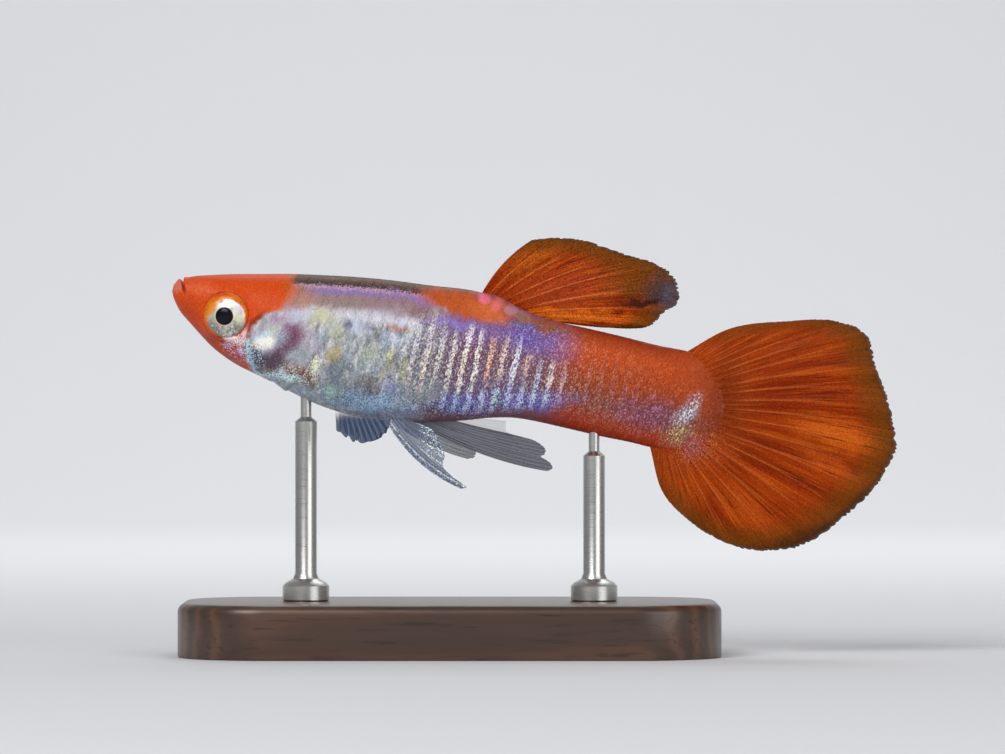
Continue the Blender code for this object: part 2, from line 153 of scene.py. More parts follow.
DORSAL_SHAPE = FinShape(
    roots=[(1.70, 19.95), (2.50, 19.62), (3.30, 19.18), (4.20, 18.84), (5.20, 18.60)],
    tips=[
        (4.55, 23.06), (6.12, 23.16), (7.78, 22.92), (9.54, 22.30), (11.13, 21.85),
        (12.40, 21.10), (12.65, 19.70), (11.80, 18.95), (11.15, 18.30), (10.10, 18.14), (8.70, 18.20),
    ],
    rays=10, bow=0.07, columns=320, rows=90, forks=(0.45, 0.75), ragged=0.06, teeth=48, seed=12,
)
PECTORAL_SHAPE = FinShape(
    roots=[(-6.80, 16.35), (-6.45, 16.65), (-6.10, 17.00)],
    tips=[(-6.22, 12.60), (-5.40, 11.90), (-4.70, 11.84), (-4.05, 11.92), (-3.50, 12.30), (-3.10, 13.20)],
    rays=11, bow=0.03, columns=160, rows=60, forks=(0.55, 0.85), ragged=0.20, teeth=6, seed=13,
)
PELVIC_SHAPE = FinShape(
    roots=[(-3.67, 13.25), (-3.20, 13.25), (-2.78, 13.25)],
    tips=[
        (0.60, 9.27), (0.86, 9.38), (0.12, 9.95), (-0.40, 10.50), (-0.32, 11.10), (-0.60, 11.90),
        (-1.05, 12.60),
    ],
    rays=7, bow=-0.09, columns=110, rows=70, forks=(0.55, 0.8), ragged=0.05, teeth=24, seed=14,
)
FAR_PELVIC_SHAPE = PELVIC_SHAPE._replace(
    tips=[(0.95, 10.88), (1.35, 11.00), (1.38, 11.35), (0.90, 11.90), (0.20, 12.60)],
    bow=-0.05,
)
GONOPODIUM_SHAPE = FinShape(
    roots=[(-2.56, 13.30), (-1.90, 13.30), (-1.20, 13.30), (-0.56, 13.30)],
    tips=[
        (5.28, 10.24), (5.52, 10.27), (5.63, 10.50), (5.42, 10.78), (5.02, 11.00), (5.16, 11.12),
        (5.29, 11.34), (5.14, 11.60), (4.70, 11.90), (4.15, 12.08), (3.60, 12.20), (3.12, 12.42),
        (3.10, 13.02),
    ],
    rays=15, bow=-0.05, columns=120, rows=80, forks=(0.7, 0.9), ragged=0.03, teeth=16, seed=15,
)


def linear(hex_colour):
    """The linear red, green, blue and alpha of an sRGB colour written as RRGGBB."""
    channels = [int(hex_colour[i : i + 2], 16) / 255 for i in (0, 2, 4)]
    return [c / 12.92 if c <= 0.04045 else ((c + 0.055) / 1.055) ** 2.4 for c in channels] + [1.0]


def colour_property(name, description, hex_colour):
    return FloatVectorProperty(
        name=name, description=description, subtype="COLOR", size=4, min=0.0, max=1.0,
        default=linear(hex_colour),
    )


def size_property(name, description, millimetres):
    return FloatProperty(
        name=name, description=description, unit="LENGTH", subtype="DISTANCE", min=0.0,
        default=millimetres * MM,
    )


class GuppySkinSettings(bpy.types.PropertyGroup):
    """Sizes and colours of the skin and its scales."""

    sides: IntProperty(name="Sides", description="Faces round the body", min=32, default=256)
    rings: IntProperty(name="Rings", description="Faces along the body", min=64, default=384)
    scale_pitch: size_property("Scale pitch", "From one scale to the next along a row", 0.711)
    scale_pieces: IntProperty(
        name="Scale pieces", description="Meshes that the scales are shared over", default=3
    )
    scale_rows: IntProperty(
        name="Scale rows", description="Rows of scales round the body, an even number", default=22
    )
    scale_thickness: size_property("Scale thickness", "Thickness of a scale at its middle", 0.010)
    scale_lift: size_property("Scale lift", "How far the free edge of a scale stands off the skin", 0.016)
    bar_pitch: size_property("Bar pitch", "From one bright bar of the flank to the next", 0.711)
    head: colour_property("Head", "Orange-red of the head", "D64A08")
    milky: colour_property("Milky flank", "Silver-white of the flank", "BFBEC8")
    mauve: colour_property("Mauve flank", "Ground colour between the bars", "785468")
    stalk: colour_property("Stalk", "Orange of the tail stalk", "C24A12")
    back: colour_property("Back", "Grey-brown of the back", "30262A")


class GuppyFinSettings(bpy.types.PropertyGroup):
    """Sizes and colours of the fins."""

    membrane: size_property("Membrane", "Thickness of the membrane between rays", 0.07)
    ray: size_property("Ray", "Thickness of a ray near its root", 0.20)
    edge: size_property("Edge", "Thickness at the fin's edge", 0.03)
    orange: colour_property("Orange fin", "Membrane of the tail and dorsal fins", "983202")
    orange_ray: colour_property("Orange ray", "Rays of the tail and dorsal fins", "D06C30")
    margin: colour_property("Fin margin", "Olive-brown edge of the tail and dorsal fins", "6E3C08")


class GuppyEyeSettings(bpy.types.PropertyGroup):
    """Sizes and colours of the eyes."""

    radius: size_property("Eye radius", "Half the size of the eyeball seen from the side", 1.25)
    depth: size_property("Eye depth", "How far the eyeball bulges from its rim", 0.50)
    out: size_property("Eye out", "From the middle plane to the rim of the eyeball", 1.76)
    pupil: size_property("Pupil radius", "Half the width of the pupil", 0.495)
    iris: colour_property("Iris", "Silver-white of the iris", "E9E6E0")
    ring: colour_property("Eye ring", "Orange ring round the iris", "DE6410")


class GuppyStandSettings(bpy.types.PropertyGroup):
    """Sizes and colours of the display stand."""

    corner: size_property("Base corner", "Radius of the base's upright corners", 5.0)
    rim: size_property("Base rim", "Radius of the base's upper edge", 0.5)
    wood: colour_property("Wood", "Main colour of the base", "4A2F20")
    steel: colour_property("Steel", "Colour of the rods", "C9C8C4")


class GuppyStageSettings(bpy.types.PropertyGroup):
    """The floor, the lights and the camera."""

    distance: FloatProperty(
        name="Camera distance", description="From the camera to the fish", unit="LENGTH", default=0.35
    )
    key: FloatProperty(
        name="Key light", description="Power of the large soft light", subtype="POWER", default=0.95
    )
    floor: colour_property("Floor", "Colour of the floor and backdrop", "E4E5E7")


SETTINGS = {
    "guppy_skin": GuppySkinSettings,
    "guppy_fins": GuppyFinSettings,
    "guppy_eyes": GuppyEyeSettings,
    "guppy_stand": GuppyStandSettings,
    "guppy_stage": GuppyStageSettings,
}


def smooth_step(x):
    x = np.clip(x, 0.0, 1.0)
    return x * x * (3 - 2 * x)


def bump(distance, width):
    """A smooth hump, 1 at no distance and close to 0 past twice the width."""
    return np.exp(-((distance / width) ** 2))


def along(points, s):
    """Points at the parameters s of a smooth curve through points that are numbered from 0."""
    points = np.asarray(points, float)
    ends = np.vstack([2 * points[0] - points[1], points, 2 * points[-1] - points[-2]])
    i = np.clip(s.astype(int), 0, len(points) - 2)
    f = (s - i)[:, None]
    a, b, c, d = ends[i], ends[i + 1], ends[i + 2], ends[i + 3]
    return 0.5 * (2 * b + (c - a) * f + (2 * a - 5 * b + 4 * c - d) * f**2 + (3 * b - a - 3 * c + d) * f**3)


def sway(x):
    """How far the swimming bend has moved the body sideways at this length."""
    share = np.maximum(0.0, (x - SWAY_FROM) / (SWAY_TO - SWAY_FROM))
    return -TAIL_SWAY * share**2


def section_lines(s):
    """The back points, belly points and half widths at these sections."""
    back = along([section.back for section in BODY], s)
    belly = along([section.belly for section in BODY], s)
    half = along([(section.half_width, 0.0) for section in BODY], s)[:, 0]
    return back, belly, np.maximum(half, 0.0)


def body_points(s, angle):
    """Points of the skin in millimetres, at these sections and angles round from the back towards +Y."""
    back, belly, half = section_lines(s)
    crown = CROWN_FLATNESS + (BACK_FLATNESS - CROWN_FLATNESS) * smooth_step(s / CROWN_ENDS)
    rise, side = np.cos(angle), np.sin(angle)
    power = np.where(rise > 0, crown, BELLY_FLATNESS)
    power += (WEDGE_FLATNESS - power) * smooth_step((s - WEDGE_FROM) / (WEDGE_FULL - WEDGE_FROM))
    reach = (np.abs(rise) ** power + np.abs(side) ** power) ** (-1 / power)
    place = (back + belly) / 2 + (back - belly) / 2 * (rise * reach)[:, None]
    return np.column_stack([place[:, 0], half * side * reach + sway(place[:, 0]), place[:, 1]])


def body_depths(s, points):
    """How far below the back and above the belly these points of the sections are."""
    back, belly, _ = section_lines(s)
    return back[:, 1] - points[:, 2], points[:, 2] - belly[:, 1]


def line_distance(x, z, line):
    """For points seen from the side: distance from the line, share of the way along it, and its side."""
    line = along(line, np.linspace(0, len(line) - 1, 49))
    start, run = line[:-1], np.diff(line, axis=0)
    offset = np.stack([x, z], axis=1)[:, None, :] - start[None]
    share = np.clip((offset * run).sum(2) / (run * run).sum(1), 0, 1)
    miss = offset - share[..., None] * run
    length = np.hypot(miss[..., 0], miss[..., 1])
    nearest = length.argmin(1)
    rows = np.arange(len(x))
    turn = run[nearest, 0] * miss[rows, nearest, 1] - run[nearest, 1] * miss[rows, nearest, 0]
    return length[rows, nearest], (nearest + share[rows, nearest]) / len(run), np.sign(turn)


def read_vectors(items, field):
    """The vectors in this field of a mesh's vertices or vertex normals."""
    values = np.empty(len(items) * 3, np.float32)
    items.foreach_get(field, values)
    return values.reshape(-1, 3).astype(float)


def set_vertices(mesh, places):
    mesh.vertices.foreach_set("co", np.ascontiguousarray(places, np.float32).ravel())
    mesh.update()


def set_attribute(mesh, name, values):
    """Stores one number or one colour a vertex, for the material to read."""
    kind, field = ("FLOAT", "value") if values.ndim == 1 else ("FLOAT_COLOR", "color")
    layer = mesh.attributes.new(name, kind, "POINT")
    layer.data.foreach_set(field, np.ascontiguousarray(values, np.float32).ravel())


def soft_noise(points, size, seed):
    """Smooth noise from 0 to 1 in blotches of about this size, from random numbers on a lattice."""
    count = 32
    lattice = np.random.default_rng(seed).random((count, count, count))
    cell = points / size
    low = np.floor(cell).astype(int)
    share = smooth_step(cell - low)
    total = np.zeros(len(points))
    for corner in itertools.product((0, 1), repeat=3):
        near = (low + corner) % count
        weight = np.prod(np.where(corner, share, 1 - share), axis=1)
        total += weight * lattice[near[:, 0], near[:, 1], near[:, 2]]
    return total


def mesh_from(bm, name):
    mesh = bpy.data.meshes.new(name)
    bm.to_mesh(mesh)
    bm.free()
    return mesh


def turn_faces_out(mesh):
    bm = bmesh.new()
    bm.from_mesh(mesh)
    bm.normal_update()
    bmesh.ops.recalc_face_normals(bm, faces=bm.faces)
    bm.to_mesh(mesh)
    bm.free()


def add_piece(name, mesh, material, replaced=()):
    """Shows the mesh as a piece of the object, in the place of the named CAD nodes."""
    piece = bpy.data.objects.new(name, mesh)
    bpy.context.scene.collection.objects.link(piece)
    mesh.materials.append(material)
    mesh.shade_smooth()
    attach(piece, BODY_NAME)
    if replaced:
        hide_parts(*replaced)
    return piece


def add_node(tree, kind, links=None, output=None, stops=(), curve=(), **settings):
    """Adds a node with its settings, ramp stops or curve points, and inputs or links. Returns an output."""
    node = tree.nodes.new(kind)
    for name, value in settings.items():
        setattr(node, name, value)
    for socket, value in (links or {}).items():
        if isinstance(value, bpy.types.NodeSocket):
            tree.links.new(value, node.inputs[socket])
        else:
            node.inputs[socket].default_value = value
    for i, (position, colour) in enumerate(stops):
        element = node.color_ramp.elements[i] if i < 2 else node.color_ramp.elements.new(position)
        element.position = position
        element.color = colour
    for i, place in enumerate(curve):
        points = node.mapping.curves[0].points
        point = points[i] if i < 2 else points.new(*place)
        point.location = place
    if curve:
        node.mapping.update()
    return node.outputs[output or 0]


def new_material(name, uniform):
    """A material whose Principled shader has these uniform values. Returns also its tree and the shader."""
    material = bpy.data.materials.new(name)
    material.use_nodes = True
    shader = material.node_tree.nodes["Principled BSDF"]
    for socket, value in uniform.items():
        shader.inputs[socket].default_value = value
    return material, material.node_tree, shader


def link_inputs(shader, sources):
    """Links node outputs to the shader's inputs."""
    for socket, source in sources.items():
        shader.id_data.links.new(source, shader.inputs[socket])


def millimetre_place(tree):
    """Object coordinates in millimetres."""
    place = add_node(tree, "ShaderNodeTexCoord", output="Object")
    return add_node(tree, "ShaderNodeVectorMath", {0: place, "Scale": 1 / MM}, operation="SCALE")


def axes(tree, place):
    """The x, y and z of a place."""
    return add_node(tree, "ShaderNodeSeparateXYZ", {0: place}).node.outputs[:]


def side_place(tree, place, ragged):
    """The place seen from the side, moved about by noise so that what is drawn on it has ragged edges."""
    x, _, z = axes(tree, place)
    moved = []
    for length, shift in ((x, 0.0), (z, 7.3)):
        shifted = add_node(tree, "ShaderNodeVectorMath", {0: place, 1: (shift,) * 3}, operation="ADD")
        noise = add_node(tree, "ShaderNodeTexNoise", {"Vector": shifted, "Scale": 1.3, "Detail": 4.0})
        push = add_node(
            tree, "ShaderNodeMath", {0: noise, 1: ragged, 2: -ragged / 2}, operation="MULTIPLY_ADD"
        )
        moved.append(add_node(tree, "ShaderNodeMath", {0: length, 1: push}, operation="ADD"))
    return add_node(tree, "ShaderNodeCombineXYZ", {0: moved[0], 2: moved[1]})


def lay_over(tree, colour, layers):
    """Lays colours over one another in their order, each where its mask is 1."""
    for mask, over in layers:
        colour = add_node(
            tree, "ShaderNodeMix", {0: mask, COLOUR_A: colour, COLOUR_B: over}, output=2, data_type="RGBA"
        )
    return colour


def pixel(px, py):
    """A pixel of the photograph as x and z in millimetres."""
    return (px - 450) / PHOTO_SCALE, (655 - py) / PHOTO_SCALE


def patches(rows):
    """Soft ellipses of colour on the side of the fish, in millimetres and radians.

    A row is a colour, the centre and the two radii in pixels of the photograph, how many degrees the
    ellipse is turned anticlockwise, how soft its edge is, and how strong it is.
    """
    for hex_colour, px, py, rx, ry, turn, soft, strength in rows:
        radii = rx / PHOTO_SCALE, ry / PHOTO_SCALE
        yield linear(hex_colour), pixel(px, py), radii, math.radians(turn), soft, strength


def paint_patches(tree, colour, place, rows):
    """Lays patches over a colour in their order."""
    for over, centre, radii, turn, soft, strength in patches(rows):
        local = add_node(
            tree,
            "ShaderNodeMapping",
            {0: place, 1: (centre[0], 0.0, centre[1]), 2: (0.0, -turn, 0.0), 3: (radii[0], 1.0, radii[1])},
            vector_type="TEXTURE",
        )
        reach = add_node(tree, "ShaderNodeVectorMath", {0: local}, output="Value", operation="LENGTH")
        mask = ramp_mask(tree, reach, 1 + soft, 1 - soft, strength)
        colour = lay_over(tree, colour, [(mask, over)])
    return colour


def painted(points, rows, ragged):
    """The colour that patches give to each point in the side view, and as its alpha how solid it is."""
    x, z = (
        points[:, axis]
        + ragged * (0.55 * soft_noise(points, 0.9, seed) + 0.45 * soft_noise(points, 0.3, seed + 1) - 0.5)
        for axis, seed in ((0, 1), (2, 3))
    )
    colours = np.zeros((len(points), 4))
    for over, centre, radii, turn, soft, strength in patches(rows):
        right, up = x - centre[0], z - centre[1]
        long = (right * math.cos(turn) + up * math.sin(turn)) / radii[0]
        across = (up * math.cos(turn) - right * math.sin(turn)) / radii[1]
        mask = smooth_step((1 + soft - np.hypot(long, across)) / (2 * soft)) * strength
        colours += (np.array(over) - colours) * mask[:, None]
    colours[:, :3] /= np.maximum(colours[:, 3:], 1e-6)
    return colours


def store_markings(mesh, s, points):
    """Stores what the skin's material reads at points of the body's sections."""
    for name, depth in zip(("below_back", "above_belly"), body_depths(s, points)):
        set_attribute(mesh, name, depth)
    for name, (rows, ragged) in MARKINGS.items():
        set_attribute(mesh, name, painted(points, rows, ragged))
    glitter = painted(points, GLITTER_PATCHES, 0.6)
    set_attribute(mesh, "glitter", glitter[:, 0] * glitter[:, 3])


FLANK_PATCHES = [
    ("8B9593", 360, 356, 50, 22, -4, 0.7, 0.4), ("7A8798", 335, 384, 28, 14, -22, 0.7, 0.5),
    ("D5D2DE", 350, 315, 60, 7, -2, 0.6, 0.7), ("C6C694", 320, 318, 15, 8, 10, 0.7, 0.75),
    ("B9BEA8", 337, 330, 12, 9, 0, 0.8, 0.5), ("C9CFE2", 356, 328, 8, 8, 0, 0.7, 0.6),
    ("DAD8E8", 402, 315, 22, 7, -14, 0.6, 0.85), ("E2E2EE", 416, 325, 8, 7, -30, 0.7, 0.8),
    ("4C5260", 348, 325, 3.5, 5, 0, 0.7, 0.85), ("6E6E72", 375, 337, 8, 5, 20, 0.8, 0.6),
    ("B96A54", 398, 327, 9, 3, -10, 0.7, 0.8), ("CDD3EE", 401, 340, 10, 4, 8, 0.7, 0.8),
    ("D9D79A", 391, 355, 2.5, 7, -12, 0.7, 0.85), ("5E6470", 397, 366, 7, 8, -12, 0.8, 0.5),
    ("E4E4A2", 404, 366, 2.6, 11, -12, 0.6, 0.9), ("BCC4A2", 372, 356, 10, 10, 0, 0.8, 0.4),
    ("B8A268", 334, 354, 9, 8, 0, 0.5, 0.7), ("C08470", 304, 300, 14, 9, 0, 0.8, 0.5),
    ("A8745C", 299, 290, 11, 6, 0, 0.8, 0.85), ("6E7C86", 336, 372, 9, 11, 0, 0.6, 0.6),
    ("6C625E", 368, 384, 12, 8, -10, 0.7, 0.6), ("8A8FC8", 390, 388, 9, 9, 0, 0.7, 0.6),
    ("B0D4FF", 374, 405, 42, 8, -8, 0.6, 0.95), ("A8CCEC", 362, 401, 20, 6, -8, 0.6, 0.8),
    ("9CB4C8", 302, 391, 26, 6, -28, 0.7, 0.7), ("6E84A8", 352, 392, 14, 6, -12, 0.8, 0.5),
    ("A8D0C4", 335, 392, 10, 8, -25, 0.7, 0.8), ("5E5470", 345, 400, 8, 4, -20, 0.8, 0.5),
    ("8FA6C0", 398, 398, 16, 10, 0, 0.8, 0.6), ("9FB2BC", 425, 388, 16, 12, -14, 0.8, 0.7),
    ("66506A", 410, 413, 60, 4, 0, 0.7, 0.5), ("66606E", 424, 366, 24, 32, -12, 0.8, 0.55),
    ("8480CC", 502, 402, 58, 9, 2, 0.7, 0.7), ("5E5468", 440, 406, 16, 5, 4, 0.7, 0.7),
    ("96787E", 394, 306, 24, 8, -16, 0.6, 0.75), ("7E5A64", 424, 314, 10, 9, -30, 0.6, 0.7),
    ("A078B0", 415, 300, 24, 3.5, -22, 0.7, 0.7), ("7E4A28", 466, 287, 44, 4, -9, 0.5, 0.7),
    ("BE5420", 466, 304, 46, 12, -12, 0.35, 1.0), ("D46A34", 490, 311, 20, 10, -20, 0.6, 0.8),
    ("8E78C4", 452, 324, 26, 4, -4, 0.7, 0.75), ("96502A", 548, 326, 32, 6, -18, 0.5, 0.9),
    ("5C5470", 522, 324, 14, 5, -20, 0.6, 0.8), ("6C58B0", 528, 337, 26, 8, -10, 0.8, 0.6),
    ("80609E", 556, 345, 18, 12, -10, 0.8, 0.45), ("7C3E34", 500, 350, 9, 16, -14, 0.8, 0.35),
    ("7C4448", 540, 372, 14, 14, -14, 0.8, 0.5), ("5460B8", 536, 408, 14, 6, 0, 0.7, 0.6),
    ("5E74B8", 455, 404, 16, 7, 0, 0.7, 0.6),
]
# The stalk's end and the root of the tail fin are coloured alike
TAIL_ROOT_PATCHES = [
    ("AE420E", 712, 376, 34, 30, -20, 0.6, 0.9), ("8E330A", 727, 406, 27, 42, 0, 0.7, 0.85),
    ("7C2C08", 729, 394, 13, 46, 0, 0.8, 0.7), ("A43E14", 700, 452, 34, 16, 10, 0.6, 0.8),
    ("8A4E58", 668, 420, 22, 12, -24, 0.7, 0.65), ("A88C94", 688, 413, 7, 20, -34, 0.7, 0.7),
    ("C8C0C8", 686, 417, 3.5, 12, -34, 0.7, 0.7), ("A0785A", 678, 436, 16, 7, 20, 0.7, 0.65),
    ("98586A", 692, 446, 9, 10, 0, 0.8, 0.5),
]
FLANK_PATCHES += [("8A4A58", 638, 414, 34, 12, -12, 0.7, 0.5)] + TAIL_ROOT_PATCHES
# What the bright bars are coloured where they run, and how strongly they show
BAR_PATCHES = [
    ("D8D4DC", 424, 352, 22, 34, -12, 0.4, 0.8), ("C8A88C", 415, 376, 6, 22, -12, 0.6, 0.9),
    ("EFE6C4", 428, 372, 6, 22, -12, 0.6, 0.9), ("E4E0D4", 448, 362, 9, 30, -12, 0.4, 0.85),
    ("D8D8A8", 444, 376, 5, 12, -12, 0.6, 0.7), ("F6EFE2", 467, 362, 14, 34, -12, 0.35, 1.0),
    ("F4DDB8", 460, 364, 5, 18, -12, 0.6, 0.8), ("F2E2F4", 473, 337, 9, 9, -12, 0.6, 0.8),
    ("E0946C", 490, 360, 8, 22, -12, 0.4, 0.9), ("F4BE92", 493, 350, 5, 9, -12, 0.6, 0.8),
    ("E8C4AC", 505, 360, 7, 24, -12, 0.4, 0.95), ("E4E8FA", 517, 366, 7, 24, -12, 0.4, 1.0),
    ("E8B08C", 528, 366, 6, 10, -12, 0.4, 0.85), ("B8C8E4", 540, 382, 9, 20, -12, 0.5, 0.8),
    ("F0D8D8", 552, 376, 6, 14, -12, 0.5, 0.85), ("D4A4B4", 565, 380, 6, 16, -12, 0.6, 0.55),
    ("BCC8FF", 496, 399, 52, 11, 2, 0.6, 1.0), ("B4E4D0", 497, 400, 7, 9, 0, 0.7, 0.8),
    ("C4E4E0", 539, 396, 8, 8, 0, 0.7, 0.8), ("9CC0F4", 454, 402, 14, 8, 0, 0.7, 0.9),
    ("B8704E", 600, 388, 34, 32, -12, 0.8, 0.18),
]
SCALE_SPOTS = [
    ("F0708A", 484, 299, 6, 5, -20, 0.5, 0.9), ("EC7478", 497, 305, 5, 7, -30, 0.5, 0.75),
    ("C890A4", 511, 310, 7, 5, -20, 0.5, 0.55), ("D08C68", 523, 317, 9, 5.5, -30, 0.3, 0.4),
    ("7E6058", 522, 317, 6.5, 4.2, -30, 0.5, 0.6),
]
HEAD_PATCHES = [
    ("BE5A10", 291, 283, 7, 14, 0, 0.6, 0.7), ("E0643A", 200, 288, 16, 8, 0, 0.8, 0.4),
    # 8A3410 below is painted shadow in the mouth's cleft
    ("E07A6A", 177, 286, 6, 6, 20, 0.6, 0.85), ("8A3410", 185, 289, 2, 4.5, 10, 0.6, 0.8),
    # 8C2408 below is painted shadow under the eye
    ("B83C14", 192, 310, 9, 16, 25, 0.8, 0.5), ("8C2408", 229, 340, 22, 4, -8, 0.7, 0.6),
    ("A83212", 215, 352, 40, 9, -42, 0.7, 0.6), ("A84A50", 238, 352, 13, 8, -38, 0.7, 0.8),
    ("FFE8E4", 236, 340, 10, 4, -22, 0.7, 1.0), ("F4D0D4", 246, 336, 3, 9, -16, 0.6, 0.85),
    ("D0A0CC", 230, 345, 4, 3.5, -20, 0.6, 0.85), ("E4B4DC", 242, 351, 5, 3.5, -10, 0.6, 0.9),
    ("7C2716", 258, 322, 4, 14, -52, 0.6, 0.75), ("6E2A22", 251, 338, 2.5, 12, -12, 0.6, 0.7),
]
GILL_PATCHES = [
    ("ACA2AE", 286, 343, 33, 30, 0, 0.4, 0.8), ("B48CB0", 284, 320, 12, 6, 20, 0.8, 0.6),
    ("8088A4", 283, 340, 7, 9, -20, 0.7, 0.7), ("7C3E6A", 295, 331, 9, 7, -30, 0.7, 0.85),
    # 70405A and 6A3656 below, and 54404E on the row after, are painted shadow under the gill cover's edge
    ("70405A", 294, 342, 6, 12, -14, 0.7, 0.9), ("6A3656", 281, 353, 11, 5, 35, 0.6, 0.9),
    ("54404E", 271, 362, 19, 8, 8, 0.6, 0.95), ("B8C0C4", 293, 357, 6, 1.8, 35, 0.7, 0.8),
    ("8AA0A4", 302, 356, 8, 9, 0, 0.7, 0.6), ("8A6450", 303, 376, 14, 9, -25, 0.6, 0.85),
    ("C2CCB8", 273, 331, 10, 5, 35, 0.7, 0.75), ("CDE6EE", 264, 337, 9, 4, 25, 0.6, 0.9),
    ("3E4C70", 257, 355, 5, 9, 20, 0.7, 0.8), ("FFFAF4", 265, 344, 12, 6.5, 20, 0.45, 1.0),
    ("B8E6FF", 249, 350, 2.0, 9, 4, 0.5, 1.0), ("A4DAFF", 252.5, 364, 2.0, 8, 24, 0.5, 1.0),
    ("B0E0FF", 259, 373, 6, 1.9, -34, 0.5, 1.0), ("C4E8FF", 270, 376, 10, 1.9, -4, 0.5, 0.95),
    ("D8ECF8", 281, 372, 6, 1.5, 38, 0.5, 0.95), ("DDF4FA", 291, 378, 12, 3.6, -14, 0.6, 0.95),
    ("F0F2D8", 316, 366, 3.5, 9, -18, 0.6, 0.9), ("C4C8DA", 302, 316, 14, 6, 15, 0.7, 0.7),
]
# How strongly the skin glitters, from black for not at all to white
GLITTER_PATCHES = [
    ("606060", 290, 350, 40, 32, 0, 0.4, 1.0), ("787878", 372, 366, 56, 34, 0, 0.6, 1.0),
    ("F0F0F0", 238, 346, 16, 10, -38, 0.6, 1.0), ("505050", 265, 342, 12, 7, 20, 0.5, 1.0),
    ("D8D8D8", 257, 357, 7, 10, 20, 0.6, 1.0), ("E8E8E8", 296, 376, 22, 8, -15, 0.6, 1.0),
    ("E0E0E0", 372, 402, 55, 9, -4, 0.7, 1.0), ("A0A0A0", 398, 368, 16, 20, 0, 0.7, 1.0),
    ("A0A0A0", 490, 366, 100, 32, -4, 0.5, 1.0), ("F0F0F0", 500, 402, 80, 11, 4, 0.6, 1.0),
    ("C8C8C8", 535, 338, 40, 12, -10, 0.7, 0.9), ("FFFFFF", 249, 350, 2.4, 10, 4, 0.5, 1.0),
    ("FFFFFF", 252.5, 364, 2.4, 9, 24, 0.5, 1.0), ("FFFFFF", 268, 375, 14, 2.6, -12, 0.5, 1.0),
    ("FFFFFF", 290, 378, 14, 4, -14, 0.6, 1.0), ("FFFFFF", 316, 366, 5, 11, -18, 0.6, 1.0),
    ("484848", 304, 300, 20, 12, 0, 0.7, 1.0), ("707070", 366, 288, 66, 2.5, -4, 0.6, 1.0),
    ("606060", 360, 278, 80, 5, -5, 0.6, 1.0), ("909090", 620, 388, 80, 36, -12, 0.6, 1.0),
    ("B8B8B8", 650, 414, 32, 14, -14, 0.7, 1.0), ("FFFFFF", 688, 412, 6, 19, -33, 0.6, 1.0),
    ("F0F0F0", 677, 434, 14, 7, 20, 0.7, 1.0), ("B0B0B0", 698, 440, 20, 14, 0, 0.7, 0.8),
]
# Colours that show only in the glints
GLINT_PATCHES = [
    ("FFDCE8", 238, 346, 16, 10, -38, 0.7, 1.0), ("C4E8FF", 262, 356, 20, 20, 0, 0.6, 0.9),
    ("E8FCFF", 256, 362, 9, 22, 16, 0.5, 1.0), ("E0FFFA", 288, 378, 18, 6, -14, 0.5, 1.0),
    ("FFFFD8", 316, 366, 6, 12, -18, 0.5, 1.0), ("E8ECC0", 390, 360, 24, 20, 0, 0.7, 0.7),
    ("D0F0FF", 375, 402, 70, 12, -4, 0.7, 0.9), ("C4CCFF", 500, 404, 90, 11, 4, 0.6, 0.9),
    ("D4F4C8", 498, 401, 8, 8, 0, 0.7, 0.8), ("A0A0FF", 530, 336, 40, 14, -10, 0.6, 0.85),
    ("EC8C58", 650, 375, 80, 44, -14, 0.6, 0.95), ("C49CE8", 650, 414, 36, 16, -14, 0.7, 0.9),
    ("E8F4FF", 688, 410, 8, 20, -33, 0.6, 1.0), ("F4F0A0", 676, 436, 16, 8, 20, 0.7, 1.0),
    ("F0C078", 700, 440, 14, 12, 0, 0.7, 0.9),
]
# The eye: its silver iris, where that is broken into specks, and the orange ring round it
IRIS_PATCHES = [
    ("827C70", 217, 330, 13, 8, -35, 0.8, 0.95), ("8C9284", 240, 328, 8, 7, 30, 0.8, 0.9),
    ("9A9688", 213, 316, 4, 9, 0, 0.8, 0.6), ("6A5428", 223, 300, 3, 2, 40, 0.8, 0.7),
    ("FFFDF8", 236, 303, 9, 6, -20, 0.8, 0.7), ("E0DCEC", 243, 310, 4, 5, 0, 0.8, 0.6),
    ("E6DDB0", 241, 319, 5, 5, 0, 0.7, 0.7), ("F2921E", 213, 309, 3.5, 11, -37, 0.6, 0.95),
]
IRIS_SPECKS = [
    ("D8D8D8", 226, 330, 19, 9, 0, 0.7, 1.0), ("FFFFFF", 232, 333, 7, 4, 10, 0.7, 1.0),
]
RING_PATCHES = [
    ("FF961C", 211, 311, 5, 11, -20, 0.8, 0.8), ("D86012", 227, 294, 20, 3, 0, 0.8, 0.8),
    ("E48A2C", 238, 298, 8, 4, -35, 0.8, 0.6), ("E8843C", 248, 316, 3, 12, 0, 0.8, 0.5),
]
IRIS_CENTRE = (227.9, 318.8)
# The name that each list is stored under on the skin and scales, and how ragged its patches' edges are
MARKINGS = {
    "flank_marks": (FLANK_PATCHES, 0.8),
    "bar_marks": (BAR_PATCHES, 0.4),
    "gill_marks": (GILL_PATCHES, 0.35),
    "head_marks": (HEAD_PATCHES, 0.35),
    "glint_marks": (GLINT_PATCHES, 0.6),
}
# Where the orange of the head ends, in pixels of the photograph, and the lengths and heights of that line
HEAD_EDGE = [
    (300, 262), (294, 277), (290, 294), (281, 307), (263, 317), (249, 336), (245, 347), (246, 358),
    (251, 371), (258, 395),
]
EDGE_RANGE = ((-12.0, -7.0), (14.0, 22.0))


